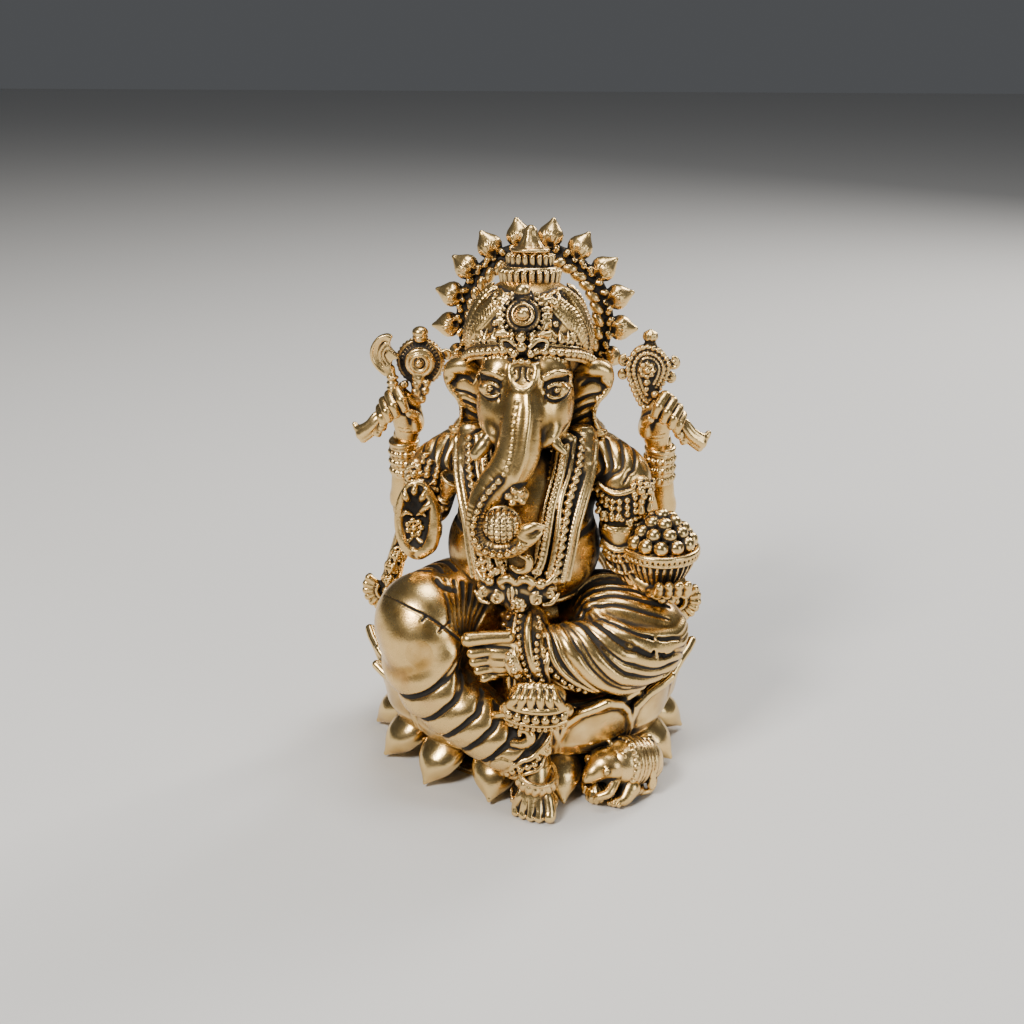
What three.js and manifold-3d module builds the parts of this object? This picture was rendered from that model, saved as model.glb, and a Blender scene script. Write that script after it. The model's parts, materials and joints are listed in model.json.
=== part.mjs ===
// A small brass Ganesha idol with an antique gold finish: a seated elephant-headed figure with four
// arms on a lotus throne, a ring halo behind the crown and a mouse at the foot of the throne.
// The idol is an assembly of castings that are pinned and brazed together, so each one is a solid
// of its own with a hairline gap to its neighbours. Nothing on it moves.
//
// Millimetres. +Z is up and the figure faces -Y. The origin is the centre of the flat underside.
// "right" and "left" are the figure's own, so its right hand is on the -X side.

import * as THREE from 'three';
import { mergeVertices } from 'three/addons/utils/BufferGeometryUtils.js';
import Module from 'manifold-3d';

const wasm = await Module();
wasm.setup();

// ---------------------------------------------------------------- driving dimensions
const SEAM = 0.3; // gap between two castings
const SEAT_TOP = 13; // top of the lotus cup, where the figure sits
const FOOT_TOP = 6.2; // top of the lower row of petals
const PLATE = { radius: 15.5, thickness: 1.2 };
const LOWER_PETALS = 14;
const LOWER_PETAL_START = -9.4; // degrees from the front to the nearest lower petal
const UPPER_PETALS = 12;
const LOWER_PETAL_REACH = 21.2; // radius of the tips of the drooping petals
const UPPER_PETAL_REACH = 20.6; // radius of the lips of the upright petals
const HALO = { centre: [0, 6.6, 56.7], ring: 9.3, rod: 1.0, buds: 12, spacing: 20.8, tip: 13.6 };
const BOWL = { centre: [17.3, -8, 31.1], radius: 5.0, depth: 5.2 };
const MODAK = { centre: [-2.1, -18.2, 37.0], radius: 2.3 };

// Places on the figure that more than one casting meets. A mirrored pair is written for the left side.
const SHOULDER = { x: 10.6, y: -1.6, z: 40.2 };
const REAR_ELBOW = { x: 17.4, y: 4.2, z: 30.6 };
const REAR_WRIST = { x: 17.0, y: 2.2, z: 39.4 };
const REAR_HAND = { x: 16.9, y: 1.0, z: 45.0 };
const RIGHT_KNEE = [-12.6, -14.0, 22.0];
const RIGHT_ANKLE = [2.1, -20.6, 5.2];
const LEFT_KNEE = [17.2, -9.6, 19.2];

// ---------------------------------------------------------------- materials
const antiqueGold = new THREE.MeshStandardMaterial({ color: 0xb8873c, roughness: 0.32, metalness: 1 });
const jewelGold = new THREE.MeshStandardMaterial({ color: 0xc79a55, roughness: 0.28, metalness: 1 });
const baseGold = new THREE.MeshStandardMaterial({ color: 0xc9a765, roughness: 0.24, metalness: 1 });

// ---------------------------------------------------------------- forms
// A form is a function of one number, how far the shape is grown, that returns a manifold solid.
// A casting is built at 0, and its neighbours are cut back by the same form grown by SEAM.

function solidOf(geometry) {
  const g = geometry.index ? geometry.toNonIndexed() : geometry.clone();
  g.deleteAttribute('normal');
  g.deleteAttribute('uv');
  const merged = mergeVertices(g, 1e-4);
  const vertProperties = merged.attributes.position.array;
  const triVerts = new Uint32Array(merged.index.array);
  const made = new wasm.Manifold(new wasm.Mesh({ numProp: 3, vertProperties, triVerts }));
  if (made.volume() >= 0) return made;
  for (let i = 0; i < triVerts.length; i += 3) {
    [triVerts[i + 1], triVerts[i + 2]] = [triVerts[i + 2], triVerts[i + 1]];
  }
  return new wasm.Manifold(new wasm.Mesh({ numProp: 3, vertProperties, triVerts }));
}

// Turns a geometry about X, then Y, then Z, in degrees, and moves it to a centre.
function placed(geometry, centre, turn = [0, 0, 0]) {
  const [x, y, z] = turn.map(THREE.MathUtils.degToRad);
  return geometry.rotateX(x).rotateY(y).rotateZ(z).translate(...centre);
}

// Grows a geometry about the middle of its own box by the same amount on every side.
function grown(geometry, grow) {
  geometry.computeBoundingBox();
  const size = geometry.boundingBox.getSize(new THREE.Vector3());
  const middle = geometry.boundingBox.getCenter(new THREE.Vector3());
  const [sx, sy, sz] = size.toArray().map((s) => (s + 2 * grow) / s);
  return geometry.translate(-middle.x, -middle.y, -middle.z).scale(sx, sy, sz)
    .translate(middle.x, middle.y, middle.z);
}

const ball = (centre, radii, turn, sides = 10, rings = 6) => (grow) => {
  const [rx, ry, rz] = radii.map((r) => r + grow);
  return solidOf(placed(new THREE.SphereGeometry(1, sides, rings).scale(rx, ry, rz), centre, turn));
};

// A turned shape: the profile is [radius, height] pairs, with its axis along Z before it is turned.
const turned = (profile, centre, turn, sides = 16) => (grow) => {
  const points = profile.map(([r, h]) => new THREE.Vector2(r, h));
  const lathe = new THREE.LatheGeometry(points, sides).rotateX(Math.PI / 2);
  return solidOf(placed(grown(lathe, grow), centre, turn));
};

const ring = (centre, radius, rod, turn, sides = 6, around = 18) => (grow) =>
  solidOf(placed(new THREE.TorusGeometry(radius, rod + grow, sides, around), centre, turn));

const block = (centre, size, turn) => (grow) =>
  solidOf(placed(new THREE.BoxGeometry(...size.map((s) => s + 2 * grow)), centre, turn));

// A plate cut from an outline in its own XZ plane, centred on its thickness along Y.
const plate = (outline, thickness, centre, turn) => (grow) => {
  const shape = new THREE.Shape(outline.map(([x, z]) => new THREE.Vector2(x, z)));
  const g = new THREE.ExtrudeGeometry(shape, { depth: thickness, bevelEnabled: false });
  g.translate(0, 0, -thickness / 2).rotateX(Math.PI / 2);
  return solidOf(placed(grown(g, grow), centre, turn));
};

// A limb: a round or flattened tube of changing radius along a smooth curve through the points.
// squash is its thickness over its width, up is the direction it is thin in, and tip is the size of
// its two end faces over the radius there. Without an up, the axis most square to the limb is used.
function limb(points, radii, { sides = 8, steps = 5, squash = 1, up, tip = 0.6 } = {}) {
  const curve = new THREE.CatmullRomCurve3(points.map((p) => new THREE.Vector3(...p)));
  const run = points[points.length - 1].map((value, i) => Math.abs(value - points[0][i]));
  const square = run.indexOf(Math.min(...run));
  const over = up ? new THREE.Vector3(...up) : new THREE.Vector3().setComponent(square, 1);
  const radiusAt = (t) => {
    const at = t * (radii.length - 1);
    const i = Math.min(Math.floor(at), radii.length - 2);
    return THREE.MathUtils.lerp(radii[i], radii[i + 1], at - i);
  };
  return (grow) => {
    const g = new THREE.CylinderGeometry(1, 1, 1, sides, steps);
    const position = g.attributes.position;
    for (let i = 0; i < position.count; i += 1) {
      const t = THREE.MathUtils.clamp(position.getY(i) + 0.5, 0, 1);
      const tangent = curve.getTangent(t);
      const side = new THREE.Vector3().crossVectors(tangent, over).normalize();
      const rise = new THREE.Vector3().crossVectors(side, tangent);
      const end = t === 0 ? -1 : Number(t === 1);
      const radius = radiusAt(t) * (end ? tip : 1) + grow;
      const thin = radiusAt(t) * (end ? tip : 1) * squash + grow;
      const p = curve.getPoint(t).addScaledVector(tangent, end * grow)
        .addScaledVector(side, position.getX(i) * radius)
        .addScaledVector(rise, position.getZ(i) * thin);
      position.setXYZ(i, p.x, p.y, p.z);
    }
    return solidOf(g);
  };
}

const join = (...forms) => (grow) => forms.map((form) => form(grow)).reduce((a, b) => a.add(b));

// The part of a form that is above a height.
const above = (height, form) => (grow) => form(grow).trimByPlane([0, 0, 1], height - grow);

// The point at an angle round the Z axis: 0 is the front, and it runs towards the left side.
const round = (degrees, radius, z) => {
  const a = THREE.MathUtils.degToRad(degrees);
  return [radius * Math.sin(a), -radius * Math.cos(a), z];
};

// ---------------------------------------------------------------- assembly
// Castings are added from the ground up. Each is cut back from all those before it that it meets.
const idol = new THREE.Group();
const built = [];

function biggestBody(solid) {
  return solid.decompose().reduce((a, b) => (b.volume() > a.volume() ? b : a));
}

function meets(a, b) {
  return [0, 1, 2].every((i) => a.min[i] < b.max[i] && b.min[i] < a.max[i]);
}

function casting(name, material, form) {
  const whole = form(0);
  const box = whole.boundingBox();
  const near = built.filter((other) => meets(box, other.box));
  const kept = near.length ? near.reduce((left, other) => left.subtract(other.cutter), whole) : whole;
  const body = biggestBody(kept);
  const cutter = form(SEAM);
  built.push({ cutter, box: cutter.boundingBox() });
  const { vertProperties, triVerts } = body.getMesh();
  const geometry = new THREE.BufferGeometry()
    .setAttribute('position', new THREE.BufferAttribute(vertProperties, 3))
    .setIndex(new THREE.BufferAttribute(triVerts, 1));
  geometry.computeVertexNormals();
  const mesh = new THREE.Mesh(geometry, material);
  mesh.name = name;
  idol.add(mesh);
}

// ---------------------------------------------------------------- lotus throne
casting('base_plate', baseGold, turned(
  [[0, 0], [PLATE.radius, 0], [PLATE.radius, PLATE.thickness], [0, PLATE.thickness]],
  [0, 0, 0], undefined, 20,
));

// The lower row: full, drop-shaped petals that droop outwards with their tips near the ground.
function lowerPetal(i) {
  const angle = (360 / LOWER_PETALS) * i + LOWER_PETAL_START;
  const spine = [[12.5, 6.2], [16.6, 5.0], [19.4, 3.0], [LOWER_PETAL_REACH, 0.9]];
  return limb(
    spine.map(([radius, z]) => round(angle, radius, z)), [2.4, 3.5, 3.2, 0.8],
    { sides: 6, steps: 4, squash: 0.72, up: [0, 0, 1] },
  );
}
const lotusFootCore = turned(
  [[0, 1.5], [13.2, 1.5], [15.5, 3.4], [14.2, FOOT_TOP], [0, FOOT_TOP]], [0, 0, 0], undefined, 20,
);
casting('lotus_foot', baseGold, join(
  lotusFootCore, ...Array.from({ length: LOWER_PETALS }, (_, i) => lowerPetal(i)),
));

// The upper row: broad upright petals that lean out, with a lip that folds over at the top.
function upperPetal(i) {
  const angle = (360 / UPPER_PETALS) * i;
  const spine = [[15.4, 7.2], [18.2, 8.4], [19.4, 11.0], [UPPER_PETAL_REACH, 13.6]];
  return limb(
    spine.map(([radius, z]) => round(angle, radius, z)), [2.6, 4.4, 4.6, 3.2],
    { sides: 6, steps: 3, squash: 0.36, up: round(angle, 1, 0.2) },
  );
}
const lotusCupCore = turned(
  [[0, FOOT_TOP + SEAM], [14.8, FOOT_TOP + SEAM], [18.2, SEAT_TOP - 1.4], [17.4, SEAT_TOP], [0, SEAT_TOP]],
  [0, 0, 0], undefined, 20,
);
casting('lotus_cup', baseGold, join(
  lotusCupCore, ...Array.from({ length: UPPER_PETALS }, (_, i) => upperPetal(i)),
));

// ---------------------------------------------------------------- legs and lower cloth
casting('hips', antiqueGold, join(
  ball([0, 0, 17.6], [12.6, 9.6, 5.6], [0, 0, 0], 12, 6),
  ball([0, -2, 21], [10.5, 8.5, 4.5]),
));

casting('right_thigh', antiqueGold, join(
  limb([[-4.5, -4, 20.6], [-8.6, -8.6, 22.2], RIGHT_KNEE], [4.4, 6.4, 6.0], { sides: 10 }),
  ball(RIGHT_KNEE, [6.2, 5.8, 5.9]),
));

casting('right_shin', antiqueGold, limb(
  [[-12.8, -14.8, 18.0], [-9.4, -16.2, 14.2], [-3.8, -18.2, 10.6], RIGHT_ANKLE],
  [5.2, 5.0, 4.2, 2.7], { sides: 10, steps: 6, tip: 0.9 },
));

casting('right_anklet', jewelGold, ring([2.5, -21.0, 4.3], 2.4, 0.7, [24, 12, 0]));

const TOE_SPREAD = [-2.4, -1.2, -0.1, 1.0, 2.3];
casting('right_foot', baseGold, above(0.1, join(
  limb([[2.2, -20.4, 4.4], [2.7, -22.2, 2.4], [2.9, -24.0, 1.5]], [2.1, 2.5, 2.9],
    { squash: 0.52, tip: 0.85 }),
  ...TOE_SPREAD.map((x, i) => limb(
    [[2.9 + x * 0.9, -23.4, 1.2], [3.0 + x, -24.6 - 0.14 * i, 0.85]],
    [0.62 + 0.06 * i, 0.6 + 0.05 * i], { sides: 5, steps: 2 },
  )),
)));

casting('left_thigh', antiqueGold, join(
  limb([[5.5, -3.6, 21.0], [11.0, -7.4, 21.8], LEFT_KNEE], [4.6, 6.2, 4.8], { sides: 10 }),
  ball(LEFT_KNEE, [4.2, 4.6, 4.6]),
));

casting('left_shin', antiqueGold, limb(
  [[17.0, -12.0, 18.4], [11.8, -14.8, 18.6], [6.4, -16.4, 18.8], [2.8, -17.4, 19.4]],
  [3.8, 4.8, 4.2, 2.6], { sides: 10, steps: 6 },
));

casting('left_anklet', jewelGold, ring([-0.2, -18.4, 19.6], 2.3, 0.6, [0, 74, -12]));

casting('left_foot', antiqueGold, join(
  limb([[-0.6, -18.4, 19.6], [-2.6, -18.8, 19.8], [-4.8, -18.8, 20.0]], [1.9, 2.3, 2.5],
    { squash: 0.55, up: [0, 1, 0.3], tip: 0.85 }),
  limb([[-4.2, -19.2, 22.0], [-6.6, -19.3, 22.1]], [0.95, 0.85], { sides: 6, steps: 2 }),
  ...[20.7, 19.6, 18.6].map((z, i) => limb(
    [[-4.2, -19.4, z], [-6.2 + 0.3 * i, -19.4, z - 0.1]], [0.62, 0.55], { sides: 6, steps: 2 },
  )),
));

casting('front_sash', antiqueGold, limb(
  [[0.6, -14.8, 24.4], [1.4, -18.6, 22.4], [2.2, -20.4, 19.2], [2.6, -20.6, 16.8]],
  [1.6, 2.2, 2.4, 1.6], { squash: 0.35, up: [0, -1, 0] },
));

casting('sash_fan', antiqueGold, join(
  plate([[-1.6, 2.4], [1.9, 2.4], [3.5, -1.7], [-3.5, -1.7]], 1.5, [2.5, -22.2, 14.4], [14, 0, 0]),
  limb([[-1.1, -22.2, 12.6], [2.5, -23.0, 12.0], [6.1, -22.2, 12.7]], [1.0, 1.1, 1.0], { steps: 4 }),
));

// ---------------------------------------------------------------- torso
casting('torso', antiqueGold, join(
  ball([-0.3, -6.0, 30.2], [10.0, 9.2, 8.8], [0, 0, 0], 14, 8),
  ball([0, -2.4, 38.2], [10.8, 7.0, 6.2], [0, 0, 0], 12, 6),
  ball([0, -0.8, 27.0], [9.0, 7.4, 7.0], [0, 0, 0], 10, 6),
  limb([[0, -2.0, 41], [0, -3.4, 46.5]], [5.0, 4.6], { sides: 10, steps: 2, tip: 1 }),
));

casting('waist_cord', jewelGold, ring([0, -3.6, 24.6], 10.6, 0.8, [12, 0, 0], 6, 22));

// The garland hangs from both shoulders and meets at the pendant on the belly.
function garlandBand(side) {
  return limb(
    [[side * 8.8, -6.2, 43.4], [side * 8.3, -11.6, 39.0], [side * 7.2, -14.6, 33.4],
      [side * 5.0, -16.0, 28.4]],
    [1.3, 1.6, 1.7, 1.6], { sides: 6, steps: 6, squash: 0.5, up: [0, -1, 0.3] },
  );
}
casting('garland_right', jewelGold, garlandBand(-1));
casting('garland_left', jewelGold, garlandBand(1));
casting('garland_pendant', jewelGold, join(
  ball([-0.4, -16.2, 28.0], [5.2, 1.6, 2.7], [12, 0, 0], 12, 6),
  ball([-0.3, -16.4, 26.2], [1.7, 1.5, 2.0], [0, 0, 0], 8, 6),
));

// ---------------------------------------------------------------- head
casting('head', antiqueGold, join(
  ball([0, -5.6, 50.4], [6.4, 6.8, 6.4], [0, 0, 0], 12, 8),
  ball([-3.6, -8.8, 49.0], [2.7, 3.2, 3.8]),
  ball([3.6, -8.8, 49.0], [2.7, 3.2, 3.8]),
  ball([0, -3.2, 47.6], [5.4, 5.0, 4.0]),
));

const TRUNK_PATH = [
  [0, -9.6, 53.0], [-0.2, -12.6, 49.2], [-1.5, -14.4, 44.4], [-4.1, -15.6, 39.4], [-5.6, -16.4, 36.0],
  [-4.2, -17.2, 33.4], [-1.6, -17.6, 33.2], [0.8, -18.0, 35.2],
];
const TRUNK_RADII = [3.2, 3.2, 2.8, 2.3, 1.7, 1.4, 1.3, 1.1];
casting('trunk', antiqueGold, limb(TRUNK_PATH, TRUNK_RADII, { steps: 14, up: [0, -1, 0] }));
casting('modak', jewelGold, ball(MODAK.centre, [MODAK.radius, 2.1, MODAK.radius], [0, 0, 0], 12, 8));

// An ear is a thin folded lobe: wide at the top, narrow at its waist and flared where it ends.
function ear(side) {
  return limb(
    [[side * 8.8, -2.6, 54.0], [side * 8.5, -2.2, 51.0], [side * 7.8, -2.4, 46.8], [side * 8.2, -3.4, 42.9]],
    [2.0, 2.9, 2.1, 2.3], { steps: 6, squash: 0.45, up: [side * 0.3, -1, 0], tip: 0.8 },
  );
}
casting('right_ear', antiqueGold, ear(-1));
casting('left_ear', antiqueGold, ear(1));

casting('right_tusk', baseGold, limb(
  [[-3.4, -11.6, 47.2], [-4.6, -13.0, 45.4], [-5.3, -13.6, 44.2]], [0.95, 0.9, 0.7], { steps: 3 },
));
casting('left_tusk', baseGold, limb(
  [[3.0, -11.6, 47.4], [3.9, -12.8, 46.0], [5.0, -13.2, 44.9]], [0.95, 0.9, 0.6], { steps: 3 },
));

// ---------------------------------------------------------------- crown and halo
casting('crown_band', jewelGold, limb(
  [[-7.6, -1.6, 52.0], [-6.6, -6.4, 54.8], [-3.4, -10.2, 57.0], [0, -11.2, 57.6], [3.4, -10.2, 57.0],
    [6.6, -6.4, 54.8], [7.6, -1.6, 52.0]],
  [1.0, 1.1, 1.2, 1.3, 1.2, 1.1, 1.0], { steps: 12 },
));
casting('crown_dome', antiqueGold, join(
  ball([0, -3.2, 58.0], [7.9, 7.2, 6.4], [-8, 0, 0], 14, 8),
  ball([0, -1.2, 54.2], [7.6, 5.2, 4.6]),
));
casting('crown_medallion', jewelGold, join(
  turned([[0, 0], [1.9, 0], [1.9, 0.8], [1.2, 1.4], [0, 2.0]], [-0.2, -9.6, 61.2], [64, 0, 0], 14),
  limb([[-0.2, -9.6, 62.0], [0, -7.8, 64.2]], [1.1, 1.0], { sides: 8, steps: 3 }),
));
casting('crown_tiers', jewelGold, join(
  turned([[0, -2], [3.8, -2], [4.6, 0], [3.9, 1.0], [0, 1.0]], [0, -1.4, 64.2], [-6, 0, 0], 16),
  turned([[0, 0], [3.0, 0], [3.6, 0.9], [2.8, 1.8], [0, 1.8]], [0, -1.2, 65.0], [-6, 0, 0], 16),
));
casting('crown_finial', jewelGold, turned(
  [[0, 0], [2.4, 0], [2.1, 0.8], [0.9, 2.0], [0, 3.0]], [0, -0.9, 67.2], [-6, 0, 0], 10,
));

// Buds stand on the ring's upper part, from one ear round to the other. The last pair is smaller.
function haloBud(i) {
  const step = i - (HALO.buds - 1) / 2;
  const last = Math.abs(step) === (HALO.buds - 1) / 2;
  const size = last ? 0.72 : 1;
  const angle = step * HALO.spacing;
  const a = THREE.MathUtils.degToRad(angle);
  const root = HALO.ring + HALO.rod * 0.4;
  const length = (HALO.tip - root) * size;
  const [x, y, z] = HALO.centre;
  return turned(
    [[0, 0], [1.1 * size, 0], [1.7 * size, length * 0.35], [1.1 * size, length * 0.7], [0, length]],
    [x + root * Math.sin(a), y, z + root * Math.cos(a)], [0, angle, 0], 6,
  );
}
casting('halo', jewelGold, join(
  ring(HALO.centre, HALO.ring, HALO.rod, [90, 0, 0], 6, 24),
  ...Array.from({ length: HALO.buds }, (_, i) => haloBud(i)),
));

// ---------------------------------------------------------------- front arms
casting('left_front_upper_arm', antiqueGold, limb(
  [[9.5, -2.5, 40.7], [12.3, -4.4, 38.4], [12.5, -6.0, 34.5]], [3.6, 3.9, 3.2],
  { sides: 12, steps: 4, tip: 0.8 },
));
casting('left_armlet', jewelGold, join(
  ball([14.2, -6.6, 38.4], [2.0, 2.2, 2.4], [0, 0, 0], 8, 6),
  limb([[14.6, -7.6, 37.0], [14.8, -8.0, 35.0]], [1.4, 0.9], { sides: 6, steps: 2 }),
));
casting('sweet_bowl', jewelGold, turned(
  [[0, -BOWL.depth], [1.6, -BOWL.depth], [3.4, -3.6], [4.4, -2.2], [BOWL.radius, -0.6],
    [BOWL.radius, 0.5], [0, 0.5]],
  BOWL.centre, [0, 0, 0], 18,
));
const SWEET_RINGS = [{ count: 8, radius: 3.6, z: 1.7 }, { count: 4, radius: 1.9, z: 3.3 }];
casting('sweets', baseGold, join(
  turned([[0, 0.8], [3.9, 0.8], [3.2, 2.6], [1.6, 4.0], [0, 4.2]], BOWL.centre, [0, 0, 0], 12),
  ...SWEET_RINGS.flatMap(({ count, radius, z }) => Array.from({ length: count }, (_, i) => {
    const place = round((360 / count) * i, radius, z).map((value, axis) => value + BOWL.centre[axis]);
    return ball(place, [1.1, 1.1, 1.1], [0, 0, 0], 6, 4);
  })),
));
casting('left_front_forearm', antiqueGold, limb(
  [[12.4, -6.4, 32.4], [13.0, -7.0, 29.4], [13.8, -7.4, 26.6]], [2.6, 2.2, 1.8], { steps: 5 },
));
// The palm that lifts the bowl from below, and the fingers that curl up its front.
casting('left_front_hand', antiqueGold, join(
  limb([[14.6, -8.0, 26.4], [17.0, -9.2, 25.8], [19.4, -9.4, 26.6]], [1.3, 1.8, 1.5],
    { steps: 4, up: [0, 0, 1] }),
  ...[16.6, 18.3, 19.9, 21.2].map((x, i) => limb(
    [[x - 0.8, -10.0, 26.2], [x, -12.0, 27.0 + 0.1 * i], [x + 0.2, -12.8, 28.3 + 0.1 * i]],
    [0.85, 0.8, 0.6], { sides: 6, steps: 3, up: [1, 0, 0] },
  )),
));

casting('right_front_upper_arm', antiqueGold, limb(
  [[-9.6, -2.6, 40.6], [-12.2, -3.2, 38.0], [-12.8, -3.0, 33.2]], [3.6, 3.7, 2.9],
  { sides: 10, steps: 5, tip: 0.8 },
));
casting('right_armlet', jewelGold, ball([-14.0, -5.4, 39.2], [1.9, 1.8, 2.2], [0, 0, 0], 8, 6));
casting('blessing_palm', antiqueGold, join(
  ball([-13.7, -9.0, 34.0], [2.9, 1.3, 5.2], [6, 0, 0], 14, 10),
  limb([[-13.0, -4.4, 31.4], [-13.6, -7.8, 31.0]], [2.2, 1.8], { steps: 2, tip: 0.9 }),
));
casting('hand_drum', jewelGold, turned(
  [[0, -2.2], [1.5, -2.2], [0.6, 0], [1.6, 2.2], [0, 2.2]], [-10.0, -8.2, 37.6], [12, 24, 0], 10,
));

// ---------------------------------------------------------------- rear arms
function rearUpperArm(side) {
  return limb(
    [[side * SHOULDER.x, SHOULDER.y + 3.2, SHOULDER.z - 1.6], [side * 14.6, 3.2, 35.4],
      [side * REAR_ELBOW.x, REAR_ELBOW.y, REAR_ELBOW.z]],
    [2.6, 2.5, 2.1], { steps: 5 },
  );
}
function rearForearm(side) {
  return limb(
    [[side * (REAR_ELBOW.x + 0.1), REAR_ELBOW.y - 0.4, REAR_ELBOW.z + 2.2], [side * 17.2, 2.9, 35.0],
      [side * REAR_WRIST.x, REAR_WRIST.y, REAR_WRIST.z + 2.6]],
    [2.0, 1.6, 1.3], { steps: 4, tip: 1 },
  );
}
// Three bangles that were cast as one cuff. The forearm cuts the cuff's bore.
function bangles(side) {
  const rows = [0, 1, 2].flatMap((i) => [[1.9, -2.6 + 1.75 * i], [2.3, -1.75 + 1.75 * i]]);
  const profile = [[0, -2.6], ...rows, [1.9, 2.6], [0, 2.6]];
  return turned(profile, [side * REAR_WRIST.x, REAR_WRIST.y, REAR_WRIST.z - 0.4], [0, 0, 0], 12);
}
// A palm with fingers that close over a shaft.
function rearHand(side) {
  const { x, y, z } = REAR_HAND;
  return join(
    limb([[0.9, -3.2], [0.3, -1.0], [0, 0.9]].map(([dy, dz]) => [side * x, y + dy, z + dz]),
      [1.6, 2.3, 2.1], { steps: 4, squash: 0.65, up: [0, -1, 0], tip: 0.8 }),
    ...[-1.5, -0.1, 1.3].map((dx) => limb(
      [[0.2, 0.4], [-0.8, 1.9], [-2.2, 1.0], [-2.1, -0.6]]
        .map(([dy, dz]) => [side * (x + dx), y + dy, z + dz]),
      [0.8, 0.75, 0.75, 0.6], { sides: 6, steps: 5, up: [side, 0, 0], tip: 0.8 },
    )),
  );
}
// The lower end of the thing a hand holds, flared and bent like the end of a plough handle.
function shaftEnd(side) {
  const { x, y, z } = REAR_HAND;
  return limb(
    [[1.9, -2.0, 0.4], [3.6, -1.8, -0.6], [5.5, -1.6, -2.2]]
      .map(([dx, dy, dz]) => [side * (x + dx), y + dy, z + dz]),
    [0.9, 1.05, 1.1], { steps: 4 },
  );
}

for (const [name, side] of [['right', -1], ['left', 1]]) {
  casting(`${name}_rear_forearm`, antiqueGold, rearForearm(side));
  casting(`${name}_rear_bangles`, jewelGold, bangles(side));
  casting(`${name}_rear_upper_arm`, antiqueGold, rearUpperArm(side));
  casting(`${name}_rear_hand`, antiqueGold, rearHand(side));
  casting(`${name}_shaft_end`, jewelGold, shaftEnd(side));
}

// The right rear hand lifts a battle axe and, beside it, a round boss of stepped rings.
casting('axe', jewelGold, join(
  plate([[-2.6, 0.4], [-2.2, 2.0], [-0.6, 3.1], [0.2, 3.0], [-0.3, 1.2], [0.4, 0.3], [1.4, 0.2],
    [1.4, -0.7], [0.4, -0.8], [0.1, -2.4], [-1.2, -2.1], [-2.3, -1.0]],
  1.2, [-18.4, -0.2, 53.2], [0, 0, 0]),
  limb([[-17.9, -0.4, 51.4], [-17.6, -0.8, 48.2]], [0.8, 0.8], { sides: 6, steps: 2 }),
));
casting('ring_boss', jewelGold, join(
  turned([[0, 0], [3.2, 0], [3.2, 1.2], [2.2, 1.6], [0.7, 2.2], [0, 2.6]],
    [-14.3, 1.6, 51.9], [90, 0, 0], 18),
  ball([-14.3, 0.6, 55.9], [1.1, 1.0, 0.9], [0, 0, 0], 8, 6),
  limb([[-14.6, 0.6, 49.6], [-15.2, 0.2, 48.0]], [1.1, 1.0], { sides: 6, steps: 2 }),
));

// The left rear hand holds a drop-shaped conch with curls at its sides.
casting('conch', jewelGold, join(
  turned([[0, -5.6], [1.2, -4.4], [2.8, -0.6], [2.6, 1.4], [1.4, 2.7], [0, 3.0]],
    [15.2, 1.2, 52.6], [0, -8, 0], 14),
  ball([15.1, 1.0, 56.3], [1.0, 0.9, 0.9], [0, 0, 0], 8, 6),
  ring([18.4, 0.6, 52.2], 0.8, 0.5, [90, 0, 0], 6, 10),
  ring([12.0, 0.6, 52.0], 0.8, 0.5, [90, 0, 0], 6, 10),
));

// ---------------------------------------------------------------- hanging sash ends
// A strap falls from the elbow to a knot, and opens below it into a pleated fan.
function sashEnd(side) {
  return join(
    limb([[side * 17.4, 3.0, 28.4], [side * 18.6, 2.6, 25.0], [side * 19.8, 2.0, 21.6]], [1.3, 1.2, 1.4],
      { steps: 4, tip: 0.9 }),
    limb([[side * 19.6, 2.0, 21.8], [side * 20.2, 1.8, 19.8], [side * 20.9, 1.5, 17.9]], [1.4, 2.4, 2.4],
      { steps: 4, squash: 0.5, up: [0, -1, 0] }),
  );
}
casting('right_sash_end', antiqueGold, sashEnd(-1));
casting('left_sash_end', antiqueGold, sashEnd(1));

// ---------------------------------------------------------------- mouse
casting('mouse', antiqueGold, join(
  limb([[16.6, -14.2, 2.9], [14.4, -15.6, 4.2], [12.0, -17.4, 4.6], [10.2, -18.6, 4.4], [8.9, -19.4, 3.4]],
    [2.0, 3.0, 2.3, 1.8, 0.8], { steps: 7 }),
  ball([11.6, -16.4, 7.0], [0.9, 0.7, 1.0], [0, 0, 0], 6, 4),
  ball([13.0, -18.4, 6.6], [0.9, 0.7, 1.0], [0, 0, 0], 6, 4),
  block([13.6, -16.4, 1.0], [4.6, 3.4, 2.0], [0, 0, 35]),
));
casting('mouse_saddle', jewelGold, limb(
  [[13.4, -16.4, 4.8], [15.4, -14.8, 4.4]], [3.5, 3.3], { steps: 2, tip: 0.95 },
));
casting('mouse_sweet', baseGold, ball([10.0, -19.0, 1.5], [1.5, 1.5, 1.4], [0, 0, 0], 8, 6));

export default idol;
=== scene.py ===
"""A small brass Ganesha idol with an antique gold finish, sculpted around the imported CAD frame.

Every casting of the CAD model gets a sculpted piece of its own. A piece is modelled as a signed
distance field on a fine grid, the way it would be worked in clay: masses are joined with soft
blends, then beads, cords and folds are laid on the surface and lines are engraved into it. The
field becomes a mesh whose cavity attribute tells the metal where the dark patina collects.

Sculpting is in millimetres in the CAD frame: +Z up, the figure faces -Y, +X is the figure's left.
"""

import json
import math
from concurrent.futures import ThreadPoolExecutor

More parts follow.
